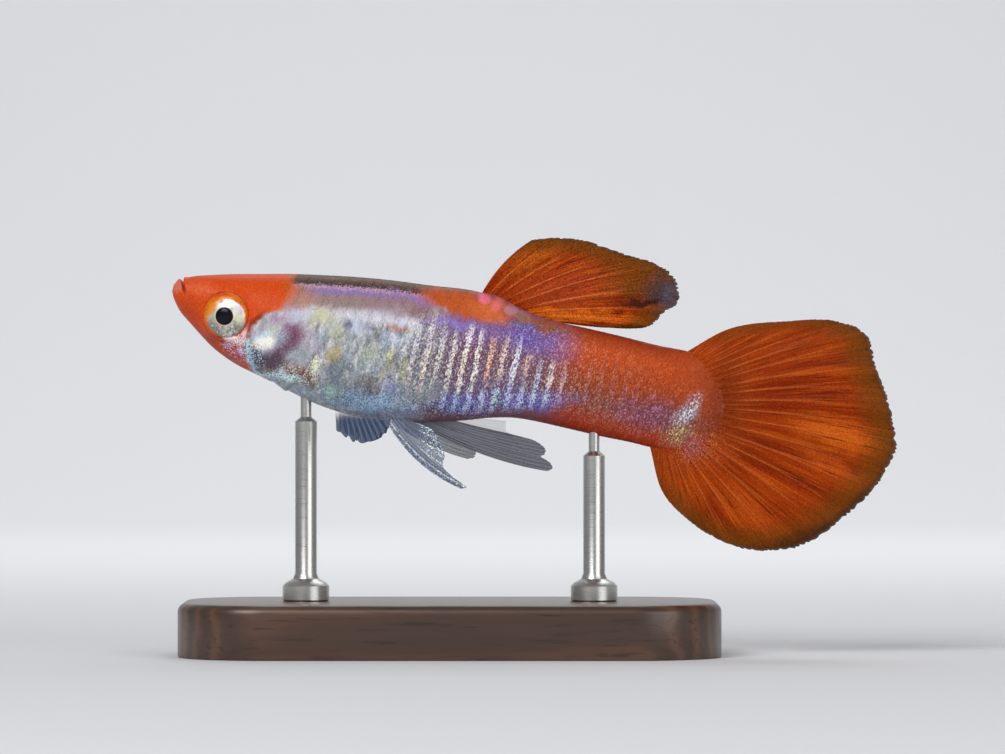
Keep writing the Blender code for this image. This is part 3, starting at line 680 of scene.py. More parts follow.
def head_edge_length(tree, z):
    """The length along the fish where the orange of the head ends at this height."""
    (x_low, x_high), (z_low, z_high) = EDGE_RANGE
    line = sorted(
        ((edge_z - z_low) / (z_high - z_low), (edge_x - x_low) / (x_high - x_low))
        for edge_x, edge_z in (pixel(*place) for place in HEAD_EDGE)
    )
    up = add_node(tree, "ShaderNodeMapRange", {0: z, 1: z_low, 2: z_high})
    edge = add_node(tree, "ShaderNodeFloatCurve", {"Value": up}, curve=line)
    return add_node(tree, "ShaderNodeMapRange", {0: edge, 3: x_low, 4: x_high})


def ramp_mask(tree, value, start, end, strength=1.0):
    """0 before the start, the strength past the end, and smooth between them."""
    return add_node(
        tree,
        "ShaderNodeMapRange",
        {0: value, 1: start, 2: end, 4: strength},
        interpolation_type="SMOOTHSTEP", clamp=False,
    )


def stored_marks(tree, name):
    """How solid the marks stored under this name are, and their colour."""
    marks = add_node(tree, "ShaderNodeAttribute", output="Color", attribute_name=name)
    return marks.node.outputs["Alpha"], marks


def stored_numbers(tree, *names):
    """The numbers stored under these names."""
    return [add_node(tree, "ShaderNodeAttribute", output="Fac", attribute_name=name) for name in names]


def product(tree, *values):
    """The values multiplied together."""
    result = values[0]
    for value in values[1:]:
        result = add_node(tree, "ShaderNodeMath", {0: result, 1: value}, operation="MULTIPLY")
    return result


def stretched_noise(tree, place, stretch, detail=4.0, roughness=0.6):
    """Noise whose grain is one unit across after the place is multiplied by the stretch."""
    place = add_node(tree, "ShaderNodeVectorMath", {0: place, 1: stretch}, operation="MULTIPLY")
    return add_node(
        tree, "ShaderNodeTexNoise", {"Vector": place, "Scale": 1.0, "Detail": detail, "Roughness": roughness}
    )


def grained(tree, colour, grain, contrast):
    """The colour, lighter and darker with the grain."""
    off_grain = add_node(tree, "ShaderNodeMath", {0: grain, 1: 0.5}, operation="SUBTRACT")
    shade = add_node(tree, "ShaderNodeMath", {0: off_grain, 1: contrast, 2: 1.0}, operation="MULTIPLY_ADD")
    return add_node(tree, "ShaderNodeHueSaturation", {"Value": shade, "Color": colour})


def skin_material(skin):
    """Live fish skin: pigment under a clear wet layer, with mirror-like platelets that glint in many hues."""
    material, tree, shader = new_material("fish_skin", {
        "Roughness": 0.45, "Specular IOR Level": 0.14, "Coat Weight": 0.06, "Coat Roughness": 0.20,
    })
    place = millimetre_place(tree)
    x, y, z = axes(tree, place)
    below_back, above_belly = stored_numbers(tree, "below_back", "above_belly")
    glitter, rim = stored_numbers(tree, "glitter", "rim")
    depth = add_node(tree, "ShaderNodeMath", {0: below_back, 1: above_belly}, operation="ADD")
    height = add_node(tree, "ShaderNodeMath", {0: below_back, 1: depth}, operation="DIVIDE")
    mottle = stretched_noise(tree, place, (3.2, 3.2, 3.2), 5.0, 0.7)

    # Bars and strokes lean forward as they go down, so lengths are measured along the lean
    lean = add_node(
        tree, "ShaderNodeMath", {0: z, 1: -BAR_LEAN, 2: BAR_LEAN * LEAN_HEIGHT}, operation="MULTIPLY_ADD"
    )
    leaning = add_node(tree, "ShaderNodeMath", {0: x, 1: lean}, operation="ADD")
    slanted = add_node(tree, "ShaderNodeCombineXYZ", {0: leaning, 1: y, 2: z})
    strokes = stretched_noise(tree, slanted, (3.0, 3.0, 1.5), 6.0, 0.66)
    # Platelets are finer than the render shows, so their specks are drawn a tenth of a millimetre across
    grain = stretched_noise(tree, slanted, (12.0, 12.0, 8.0), 2.0, 0.7)

    # Milky flank, in short upright strokes of white and grey
    flank = add_node(tree, "ShaderNodeValToRGB", {0: strokes}, stops=[
        (0.34, linear("545E68")), (0.65, linear("F4F4FA")), (0.43, linear("8A9096")),
        (0.53, tuple(skin.milky)),
    ])
    tint = stretched_noise(tree, slanted, (1.5, 1.5, 0.8), 3.0, 0.6)
    flank = lay_over(tree, flank, [
        (ramp_mask(tree, tint, 0.53, 0.64, 0.50), linear("C9C690")),
        (ramp_mask(tree, tint, 0.47, 0.37, 0.50), linear("9FB2D2")),
    ])
    mauve = add_node(tree, "ShaderNodeValToRGB", {0: height}, stops=[
        (0.12, linear("8C5A70")), (0.95, linear("7E5660")), (0.30, linear("7C5C92")),
        (0.50, tuple(skin.mauve)), (0.75, linear("6E5A7C")),
    ])

    # The stalk is brightest under its back and mottled brown and violet below
    stalk = add_node(tree, "ShaderNodeValToRGB", {0: height}, stops=[
        (0.0, linear("8A2C08")), (1.0, linear("9E3010")), (0.08, linear("A63C0E")), (0.20, tuple(skin.stalk)),
        (0.42, linear("A84218")), (0.68, linear("85422F")), (0.88, linear("A4381A")),
    ])
    wander = add_node(tree, "ShaderNodeMath", {0: mottle, 1: 3.4, 2: -1.7}, operation="MULTIPLY_ADD")
    wandering = add_node(tree, "ShaderNodeMath", {0: leaning, 1: wander}, operation="ADD")
    colour = lay_over(tree, flank, [
        (ramp_mask(tree, wandering, -2.8, 0.2), mauve),
        (ramp_mask(tree, wandering, 4.4, 7.4), stalk),
    ])

    # Bands along the back: grey-brown, glinting strokes, a violet line, and a pinkish brown band
    spikes = stretched_noise(tree, slanted, (9.0, 9.0, 2.2), 3.0, 0.7)
    jag = add_node(tree, "ShaderNodeMath", {0: spikes, 1: 0.9, 2: -0.45}, operation="MULTIPLY_ADD")
    banded = add_node(tree, "ShaderNodeMath", {0: below_back, 1: jag}, operation="ADD")
    bands = add_node(tree, "ShaderNodeValToRGB", {0: product(tree, banded, 0.5)}, stops=[
        (0.0, tuple(skin.back)), (1.0, linear("A08688")), (0.26, linear("463A3E")), (0.32, linear("C8A0B8")),
        (0.39, linear("9A78A8")), (0.47, linear("8A78AC")), (0.56, linear("9A7C80")),
        (0.80, linear("96807A")),
    ])
    band_zone = product(tree, ramp_mask(tree, banded, 2.2, 1.85), ramp_mask(tree, x, 0.2, -1.6))
    back_rear = product(tree, ramp_mask(tree, below_back, 0.55, 0.25), ramp_mask(tree, x, 2.4, 0.6))
    colour = lay_over(tree, colour, [(band_zone, bands), (back_rear, linear("5A3E30"))])
    colour = lay_over(tree, colour, [stored_marks(tree, "flank_marks")])

    # Snakeskin bars, broken into specks
    waver = stretched_noise(tree, place, (1.4, 1.4, 1.4), 3.0, 0.5)
    turns = add_node(
        tree, "ShaderNodeMath", {0: leaning, 1: MM / skin.bar_pitch, 2: product(tree, waver, 0.4)},
        operation="MULTIPLY_ADD",
    )
    turns = add_node(tree, "ShaderNodeMath", {0: turns, 1: 0.2}, operation="SUBTRACT")
    wave = add_node(tree, "ShaderNodeMath", {0: product(tree, turns, 2 * math.pi)}, operation="COSINE")
    bar_zone, bar_colour = stored_marks(tree, "bar_marks")
    broken = ramp_mask(tree, grain, 0.34, 0.52)
    speckled = add_node(tree, "ShaderNodeMath", {0: grain, 1: 2.4, 2: wave}, operation="MULTIPLY_ADD")
    bar = product(tree, ramp_mask(tree, speckled, 1.25, 1.75), bar_zone, broken)
    fleck = stretched_noise(tree, place, (8.0, 8.0, 7.0), 1.0, 0.5)
    bar_colour = lay_over(tree, bar_colour, [
        (ramp_mask(tree, fleck, 0.54, 0.62, 0.55), linear("FFF2D0")),
        (ramp_mask(tree, fleck, 0.45, 0.37, 0.60), linear("8C88D8")),
    ])
    colour = lay_over(tree, colour, [(bar, bar_colour), stored_marks(tree, "gill_marks")])
    colour = paint_patches(tree, colour, side_place(tree, place, 0.3), SCALE_SPOTS)

    # The orange of the head ends at a slanting, speckled edge behind the eye
    past = add_node(tree, "ShaderNodeMath", {0: x, 1: head_edge_length(tree, z)}, operation="SUBTRACT")
    blurred = add_node(tree, "ShaderNodeMath", {0: mottle, 1: 0.8, 2: past}, operation="MULTIPLY_ADD")
    head_zone = ramp_mask(tree, blurred, 0.68, 0.22)
    near_head = add_node(tree, "ShaderNodeMapRange", {0: past, 1: 2.0, 2: 0.0})
    speckle = add_node(tree, "ShaderNodeMath", {0: near_head, 1: grain, 2: -0.34}, operation="MULTIPLY_ADD")
    speckle = product(
        tree,
        ramp_mask(tree, speckle, 0.0, 0.12, 0.85),
        ramp_mask(tree, z, 18.7, 19.3),
        ramp_mask(tree, below_back, 0.5, 0.8),
    )
    head = lay_over(tree, tuple(skin.head), [(ramp_mask(tree, mottle, 0.50, 0.66, 0.35), linear("C23A08"))])
    head = lay_over(tree, head, [stored_marks(tree, "head_marks")])
    colour = lay_over(tree, colour, [(speckle, linear("D06A48")), (head_zone, head)])

    # Painted glints and dark specks, strongest where the platelets are thick
    for least in (0.02, product(tree, bar_zone, 0.55)):
        glitter = add_node(tree, "ShaderNodeMath", {0: glitter, 1: least}, operation="MAXIMUM")
    depth_of_grain = add_node(tree, "ShaderNodeMath", {0: glitter, 1: 2.6, 2: 0.8}, operation="MULTIPLY_ADD")
    colour = grained(tree, colour, grain, depth_of_grain)
    glint_colour = lay_over(tree, linear("FFF2E4"), [stored_marks(tree, "glint_marks")])
    fine_glint = ramp_mask(tree, grain, 0.54, 0.66, 1.2)
    broad_glint = ramp_mask(tree, strokes, 0.55, 0.66, 0.5)
    glint = add_node(tree, "ShaderNodeMath", {0: fine_glint, 1: broad_glint}, operation="ADD")
    glint = product(tree, glint, glitter)
    glint = add_node(tree, "ShaderNodeMath", {0: glint, 1: 0.9}, operation="MINIMUM")
    dark = product(tree, ramp_mask(tree, grain, 0.47, 0.38, 0.65), glitter)

    # Painted shade along the free edge of each scale, which is drawn a little darker
    scale_edge_shade = ramp_mask(tree, rim, 0.80, 1.0, 0.05)
    colour = lay_over(tree, colour, [
        (dark, linear("40364C")), (glint, glint_colour), (scale_edge_shade, linear("4A3A44")),
    ])
    relief = add_node(tree, "ShaderNodeBump", {"Height": grain, "Strength": 0.25, "Distance": 0.02 * MM})
    link_inputs(shader, {"Base Color": colour, "Metallic": product(tree, glitter, 0.18), "Normal": relief})
    return material


def fish_skin_material(skin):
    """The one skin material, which the skin and its scales share."""
    return bpy.data.materials.get("fish_skin") or skin_material(skin)


def head_relief(x, z, out):
    """How far the skin stands out or sinks at places of the head and flank, in millimetres."""
    gap, share, _ = line_distance(x, z, MOUTH_LINE)
    deep = 1 - smooth_step((share - 0.30) / 0.22)
    relief = -(0.02 + 0.17 * deep) * bump(gap, 0.05 + 0.02 * deep)
    relief *= 1 - smooth_step((share - 0.45) / 0.3)
    relief += 0.05 * deep * bump(gap - 0.18, 0.11)
    for nostril in NOSTRILS:
        away = np.hypot(x - nostril[0], z - nostril[1])
        relief += np.where(out > 0.4, 0.008 * bump(away - 0.14, 0.06) - 0.05 * bump(away, 0.05), 0.0)
    gap, share, side = line_distance(x, z, CHEEK_LINE)
    relief -= 0.10 * bump(gap, 0.075) * smooth_step(share / 0.15) * smooth_step((1 - share) / 0.1)
    relief += 0.06 * np.where(side > 0, bump(gap, 0.55), 0.0)
    gap, share, side = line_distance(x, z, GILL_LINE)
    cover = smooth_step((share - 0.18) / 0.15)
    behind = 0.09 * bump(gap, 0.05) - 0.05 * bump(gap, 0.10)
    relief += cover * np.where(side < 0, 0.09 * bump(gap, 0.35), behind)
    throat = (z < 19.0) & (x < -9.8) & (x > -14.4)
    relief -= np.where(throat, 0.07 * bump(out, 0.12), 0.0)
    relief -= np.where(out < 1.2, 0.10 * bump(np.hypot(x + 9.75, z - 15.2), 0.16), 0.0)
    relief += 0.14 * bump(np.hypot(x - FIN_BASE[0], z - FIN_BASE[1]), 0.42)
    relief += 0.10 * bump(np.hypot(x - 2.6, z - 19.6), 0.9) * bump(out, 0.35)
    return relief


class GUPPY_OT_skin(bpy.types.Operator):
    """One skin over head, gill covers, trunk and stalk, with mouth, nostrils, eye sockets and gill edges"""

    bl_idname = "guppy.skin"
    bl_label = "Skin"

    def execute(self, context):
        skin = context.scene.guppy_skin
        eyes = context.scene.guppy_eyes
        bm = bmesh.new()
        bmesh.ops.create_uvsphere(bm, u_segments=skin.sides, v_segments=skin.rings, radius=1.0)
        mesh = mesh_from(bm, "skin")
        ball = read_vectors(mesh.vertices, "co")
        s = LAST * np.arccos(np.clip(ball[:, 2], -1, 1)) / math.pi
        angle = np.arctan2(ball[:, 1], ball[:, 0])
        places = body_points(s, angle)
        set_vertices(mesh, places)
        turn_faces_out(mesh)
        normals = read_vectors(mesh.vertex_normals, "vector")
        x, z = places[:, 0], places[:, 2]
        middle = sway(x)
        out = np.abs(places[:, 1] - middle)
        coat = skin.scale_lift / MM * smooth_step((x + 8.6) / 1.2)
        places = places + normals * (head_relief(x, z, out) - coat)[:, None]
        places[:, 1] = self.around_eye(eyes, places, out)
        store_markings(mesh, s, places)
        set_vertices(mesh, places * MM)
        turn_faces_out(mesh)
        flesh = ("head", "lower_jaw", "gill_cover_left", "gill_cover_right", "trunk", "tail_stalk")
        add_piece("skin", mesh, fish_skin_material(skin), flesh)
        return {"FINISHED"}

    def around_eye(self, eyes, places, out):
        """Draws the skin in to the rim of the eyeball, and sinks what the eyeball covers."""
        x, y, z = places.T
        away = np.hypot(x - EYE_CENTRE[0], z - EYE_CENTRE[1]) - eyes.radius / MM
        rim = eye_rim(eyes, x) + 0.03 * bump(away - 0.08, 0.07)
        drawn = smooth_step((0.40 - away) / 0.40)
        sunk = 0.30 * smooth_step((-0.02 - away) / 0.12)
        wanted = np.abs(y) + (rim - np.abs(y)) * drawn - sunk
        return np.where((out > 0.9) & (x < -10.5), wanted * np.sign(y), y)


def scale_roots(skin):
    """The section, angle, half length and half width of each scale, in rows staggered by half a pitch."""
    fine = np.linspace(7.0, 22.9, 400)
    middle = sum(section_lines(fine)[:2]) / 2
    run = np.concatenate([[0], np.cumsum(np.hypot(*np.diff(middle, axis=0).T))])
    step = skin.scale_pitch / MM / 2
    roots = []
    turns = np.linspace(0, 2 * math.pi, 361)
    for column in range(int(run[-1] / step)):
        s = np.interp(column * step, run, fine)
        ring = body_points(np.full(361, s), turns)
        girth = np.concatenate([[0], np.cumsum(np.linalg.norm(np.diff(ring, axis=0), axis=1))])
        spacing = girth[-1] / skin.scale_rows
        for row in range(column % 2, skin.scale_rows, 2):
            angle = np.interp((row + 0.5) * spacing, girth, turns)
            roots.append((s, angle, step * 1.62, spacing * 1.08))
    return np.array(roots)


def repeated_lens(count):
    """So many round lenses in one place."""
    bm = bmesh.new()
    bmesh.ops.create_uvsphere(bm, u_segments=20, v_segments=12, radius=1.0)
    lens = mesh_from(bm, "lens")
    bm = bmesh.new()
    for _ in range(count):
        bm.from_mesh(lens)
    bpy.data.meshes.remove(lens)
    return bm


def is_scaled(places):
    """True for the places of the body that carry scales."""
    x, z = places[:, 0], places[:, 2]
    gap, _, side = line_distance(x, z, GILL_LINE)
    behind_gills = (side > 0) & (gap > 0.25)
    nape = (x > -9.6) & (z > 20.2)
    off_fin_base = np.hypot(x - FIN_BASE[0], z - FIN_BASE[1]) > 0.5
    return (behind_gills | nape) & off_fin_base & (x < 14.9)


def eye_rim(eyes, x):
    """How far the rim of the eyeball is from the middle plane at this length."""
    return eyes.out / MM + (x - EYE_CENTRE[0]) * math.tan(EYE_TURN)


class GUPPY_OT_scales(bpy.types.Operator):
    """Thin overlapping scales over the trunk and stalk, each a closed lens on the skin"""

    bl_idname = "guppy.scales"
    bl_label = "Scales"

    def execute(self, context):
        skin = context.scene.guppy_skin
        roots = scale_roots(skin)
        roots = roots[is_scaled(body_points(roots[:, 0], roots[:, 1]))]
        for number, share in enumerate(np.array_split(roots, skin.scale_pieces)):
            self.add_scales(skin, f"scales_{number + 1}", share)
        return {"FINISHED"}

    def add_scales(self, skin, name, roots):
        mesh = mesh_from(repeated_lens(len(roots)), name)
        lens = read_vectors(mesh.vertices, "co")
        # The rings of the ball are moved outwards, so that the lens is flat on top with a narrow rounded rim
        radius = np.maximum(np.hypot(lens[:, 0], lens[:, 1]), 1e-9)
        lens[:, :2] *= (radius**0.7 / radius)[:, None]
        owner = np.arange(len(lens)) // (len(lens) // len(roots))
        s, angle, half_length, half_width = roots[owner].T
        nudge = 0.02
        centre = body_points(s, angle)
        per_s = np.linalg.norm(body_points(s + nudge, angle) - centre, axis=1) / nudge
        per_angle = np.linalg.norm(body_points(s, angle + nudge) - centre, axis=1) / nudge
        back, across = lens[:, 0], lens[:, 1]
        here_s = s + back * half_length / per_s
        here_angle = angle + across * half_width / per_angle
        places = body_points(here_s, here_angle)
        along_body = body_points(here_s + nudge, here_angle) - places
        round_body = body_points(here_s, here_angle + nudge) - places
        normals = np.cross(round_body, along_body)
        normals /= np.linalg.norm(normals, axis=1)[:, None]
        length = places[:, 0]
        middle = np.column_stack([length, sway(length), sum(section_lines(here_s)[:2])[:, 1] / 2])
        outward = places - middle
        normals *= np.sign((normals * outward).sum(1))[:, None]
        lift = (back * 1.1 - 0.35) * skin.scale_lift / MM
        rise = lift + lens[:, 2] * skin.scale_thickness / MM / 2
        places = places + normals * rise[:, None]
        store_markings(mesh, here_s, places)
        rim = np.hypot(back, across) * smooth_step((back + 0.3) / 0.6)
        set_attribute(mesh, "rim", rim)
        set_vertices(mesh, places * MM)
        self.add_bake_map(mesh, s / LAST, angle / (2 * math.pi), across, back)
        turn_faces_out(mesh)
        add_piece(name, mesh, fish_skin_material(skin))

    def add_bake_map(self, mesh, share_long, share_round, across, back):
        """Each scale is a small patch at its root's place on the unwrapped body."""
        patch = 0.0015
        u = 0.01 + 0.98 * share_long + patch * back
        v = 0.01 + 0.98 * share_round + patch * across
        corners = np.empty(len(mesh.loops), np.int32)
        mesh.loops.foreach_get("vertex_index", corners)
        layer = mesh.uv_layers.new(name="OFBake")
        layer.uv.foreach_set("vector", np.column_stack([u, v])[corners].astype(np.float32).ravel())


class GUPPY_OT_eyes(bpy.types.Operator):
    """Two eyeballs with a silver iris round a domed black pupil"""

    bl_idname = "guppy.eyes"
    bl_label = "Eyes"

    def execute(self, context):
        eyes = context.scene.guppy_eyes
        material = self.eye_material(eyes)
        for side_name, side in (("left", -1), ("right", 1)):
            bm = bmesh.new()
            bmesh.ops.create_uvsphere(bm, u_segments=64, v_segments=48, radius=1.0)
            mesh = mesh_from(bm, f"eyeball_{side_name}")
            ball = read_vectors(mesh.vertices, "co")
            radius, depth = eyes.radius / MM, eyes.depth / MM
            x = EYE_CENTRE[0] + ball[:, 0] * radius
            z = EYE_CENTRE[1] + ball[:, 1] * radius
            outer = ball[:, 2] > 0
            from_pupil = np.hypot(x - PUPIL_CENTRE[0], z - PUPIL_CENTRE[1])
            pupil = eyes.pupil / MM
            lens = 0.08 * np.sqrt(np.maximum(0.0, 1 - (from_pupil / pupil) ** 2))
            dish = -0.04 * bump(from_pupil - pupil - 0.22, 0.20)
            out = eye_rim(eyes, x) + ball[:, 2] * depth + np.where(outer, lens + dish, 0.0)
            set_vertices(mesh, np.column_stack([x, side * out, z]) * MM)
            turn_faces_out(mesh)
            add_piece(f"eyeball_{side_name}", mesh, material, (f"eye_{side_name}",))
        return {"FINISHED"}

    def eye_material(self, eyes):
        """A fish's eye: mirror-like silver iris under a clear wet cornea, and a black pupil."""
        material, tree, shader = new_material("fish_eye", {
            "Roughness": 0.35, "Specular IOR Level": 0.1, "Coat Weight": 1.0, "Coat Roughness": 0.03,
            "Coat IOR": 1.22,
        })
        place = millimetre_place(tree)
        x, _, z = axes(tree, place)
        flat = add_node(tree, "ShaderNodeCombineXYZ", {0: x, 2: z})
        pupil_away, iris_away = (
            add_node(
                tree, "ShaderNodeVectorMath", {0: flat, 1: (centre[0], 0, centre[1])}, output="Value",
                operation="DISTANCE",
            )
            for centre in (PUPIL_CENTRE, pixel(*IRIS_CENTRE))
        )
        clouds = add_node(
            tree, "ShaderNodeTexNoise", {"Vector": place, "Scale": 3.0, "Detail": 5.0, "Roughness": 0.7}
        )
        iris = add_node(tree, "ShaderNodeValToRGB", {0: clouds}, stops=[
            (0.34, linear("8E8A80")), (0.66, linear("FBFAF6")), (0.48, tuple(eyes.iris)),
        ])
        iris = paint_patches(tree, iris, flat, IRIS_PATCHES)
        # The lower iris is broken into dark and glinting specks
        speck = stretched_noise(tree, place, (7.0, 7.0, 7.0), 3.0, 0.7)
        zone = paint_patches(tree, linear("404040"), flat, IRIS_SPECKS)
        iris = lay_over(tree, iris, [
            (product(tree, ramp_mask(tree, speck, 0.51, 0.41, 0.75), zone), linear("6A5A4E")),
            (product(tree, ramp_mask(tree, speck, 0.54, 0.66), zone), linear("F2F2FF")),
        ])
        ragged = add_node(tree, "ShaderNodeTexNoise", {"Vector": place, "Scale": 4.0, "Detail": 3.0})
        iris_away = add_node(
            tree, "ShaderNodeMath", {0: ragged, 1: 0.20, 2: iris_away}, operation="MULTIPLY_ADD"
        )
        ring = paint_patches(tree, tuple(eyes.ring), flat, RING_PATCHES)
        ring = lay_over(tree, ring, [(ramp_mask(tree, speck, 0.50, 0.36, 0.6), linear("B0500C"))])
        pupil = eyes.pupil / MM
        colour = lay_over(tree, iris, [
            (ramp_mask(tree, iris_away, 1.11, 1.20), ring),
            (ramp_mask(tree, pupil_away, pupil + 0.08, pupil + 0.02, 0.8), linear("F6D8B0")),
        ])
        hole = add_node(tree, "ShaderNodeMapRange", {0: pupil_away, 1: pupil + 0.012, 2: pupil - 0.012})
        colour = lay_over(tree, colour, [(hole, linear("060416"))])
        metal = add_node(tree, "ShaderNodeMapRange", {0: hole, 3: 0.25, 4: 0.0})
        link_inputs(shader, {"Base Color": colour, "Metallic": metal})
        return material


def fan_points(shape, u, r):
    """Points of a fin from the side, at the share u across the fan and the share r of the way out."""
    root = along(shape.roots, u * (len(shape.roots) - 1))
    tip = along(shape.tips, u * (len(shape.tips) - 1))
    reach = tip - root
    across = np.column_stack([-reach[:, 1], reach[:, 0]])
    bow = (shape.bow * 4 * r * (1 - r) * (1 - u))[:, None]
    return root + reach * r[:, None] + across * bow, np.hypot(*reach.T)


def ray_height(shape, u, r):
    """How high the rays stand, 1 on a ray and 0 on the membrane. Each ray splits in two at each fork."""
    spacing = 1 / (shape.rays - 1)
    off = np.abs((u / spacing + 0.5) % 1.0 - 0.5)
    spread = 0.25
    for fork in shape.forks:
        off = np.abs(off - spread * smooth_step((r - fork) / (1.15 - fork)))
        spread /= 2
    nudge = 0.002
    before, after = (fan_points(shape, u + step, r)[0] for step in (-nudge, nudge))
    apart = np.maximum(np.linalg.norm(after - before, axis=1) / (2 * nudge) * spacing, 0.02)
    forked = 1 - 0.45 * smooth_step((r - shape.forks[0]) / 0.4)
    return bump(off * apart, RAY_HALF_WIDTH * forked * (1 - 0.35 * r))


def add_fin(fins, name, node, shape, depth, material, tint=None, spark=None):
    """A fin as a curved sheet, with forking rays raised in its surface and a ragged edge.

    depth, tint and spark are functions of places on the fin: how far these are from the middle plane, and
    the colour and glint of the film there.
    """
    bm = bmesh.new()
    bmesh.ops.create_grid(bm, x_segments=shape.columns, y_segments=shape.rows, size=0.5)
    mesh = mesh_from(bm, name)
    grid = read_vectors(mesh.vertices, "co")
    u, r = grid[:, 0] + 0.5, grid[:, 1] + 0.5
    crest = ray_height(shape, u, r)
    out = r * (1 + (shape.ragged / 2 - edge_wear(shape, u)) * r**3)
    flat, length = fan_points(shape, u, out)
    y = depth(u, out, out * length) + sway(flat[:, 0])
    set_vertices(mesh, np.column_stack([flat[:, 0], y, flat[:, 1]]) * MM)
    set_attribute(mesh, "ray", crest)
    set_attribute(mesh, "reach", r)
    set_attribute(mesh, "fan", u)
    # The dark edge is narrower where the rays are short, at the corners of a fin
    set_attribute(mesh, "from_edge", (1 - r) * length + 1.2 * np.maximum(0.0, 3.5 - length))
    if tint:
        set_attribute(mesh, "tint", tint(u, flat))
    if spark:
        set_attribute(mesh, "spark", spark(u, r))
    piece = add_piece(name, mesh, material, (node,))
    membrane, ray, edge = fins.membrane, fins.ray, fins.edge
    thick = membrane + (ray - membrane) * crest * (1 - 0.65 * r)
    thick += (edge - thick) * smooth_step((r - 0.85) / 0.15)
    weights = (thick - edge) / (ray - edge)
    group = piece.vertex_groups.new(name="thickness")
    for i, weight in enumerate(weights):
        group.add([i], float(weight), "REPLACE")
    solid = piece.modifiers.new("thickness", "SOLIDIFY")
    solid.thickness = ray
    solid.offset = 0.0
    solid.vertex_group = group.name
    solid.thickness_vertex_group = edge / ray


def edge_wear(shape, u):
    """How much shorter the fin is at each share u: a few larger nicks, and round lobes of uneven size."""
    draw = np.random.default_rng(shape.seed)
    teeth = shape.teeth
    ends = np.cumsum(draw.uniform(0.35, 1.65, teeth + 1))
    lobe = np.interp(u * teeth, np.arange(teeth + 1), ends)
    depth = np.interp(u * teeth, np.arange(teeth + 1), draw.uniform(0.02, 0.34, teeth + 1))
    wear = depth * (1 - np.abs(np.sin(math.pi * lobe)))
    for count, size in ((teeth // 12, 0.30), (teeth // 4, 0.26), (teeth, 0.24)):
        wear += size * np.interp(u * count, np.arange(count + 1), draw.random(count + 1))
    return wear * shape.ragged


# How far a fin is from the middle plane, at the share u across it and the share r of the way out,
# which is the length run
def tail_depth(u, r, run):
    pleat = 0.07 * r * np.sin(2 * math.pi * 13 * u + 0.8)
    return 0.38 * r**1.3 * np.sin(2 * math.pi * (1.4 * u + 0.12)) + pleat


def dorsal_depth(u, r, run):
    pleat = 0.05 * r * np.cos(2 * math.pi * 8 * u)
    return 0.35 * r * r + 0.18 * r * np.sin(2 * math.pi * 1.2 * u) + pleat


def gonopodium_depth(u, r, run):
    return 0.02 * np.sin(2 * math.pi * 3 * u) * r


TAIL_PATCHES = [
    ("842200", 752, 396, 40, 34, 0, 0.7, 0.75), ("C85A12", 842, 437, 44, 13, -16, 0.6, 0.9),
    ("C05012", 835, 468, 34, 9, -28, 0.6, 0.7), ("A23E0E", 800, 345, 55, 14, 14, 0.7, 0.5),
    ("B84C0C", 748, 512, 34, 14, -50, 0.7, 0.7), ("B84C0C", 690, 490, 20, 14, -60, 0.7, 0.6),
] + TAIL_ROOT_PATCHES
TAIL_EDGE = [
    ("903A08", 735, 328, 80, 10, 8, 0.7, 0.65), ("94420C", 664, 490, 12, 46, 24, 0.7, 0.5),
    ("33200F", 850, 512, 56, 8, 44, 0.8, 0.62), ("301C0E", 800, 541, 38, 10, 20, 0.8, 0.62),
]
TAIL_SPARKS = [("FFFFFF", 694, 440, 22, 20, 20, 0.8, 0.5)]
DORSAL_PATCHES = [
    ("A03A18", 570, 290, 42, 18, 12, 0.7, 0.8), ("B4560C", 535, 256, 26, 12, 30, 0.8, 0.7),
    ("D06212", 580, 316, 50, 6, -2, 0.4, 0.95), ("C85810", 622, 320, 22, 5, 2, 0.5, 0.9),
    ("6E3A06", 632, 272, 34, 15, -16, 0.7, 0.75),
]
DORSAL_TIP = [
    ("5A3C0C", 634, 290, 24, 9, -6, 0.8, 0.6), ("42363A", 665, 293, 18, 16, -24, 0.8, 0.9),
    ("1E1210", 642, 303, 28, 3.5, 2, 0.7, 0.85), ("5C5260", 670, 298, 8, 12, 0, 0.7, 0.6),
]


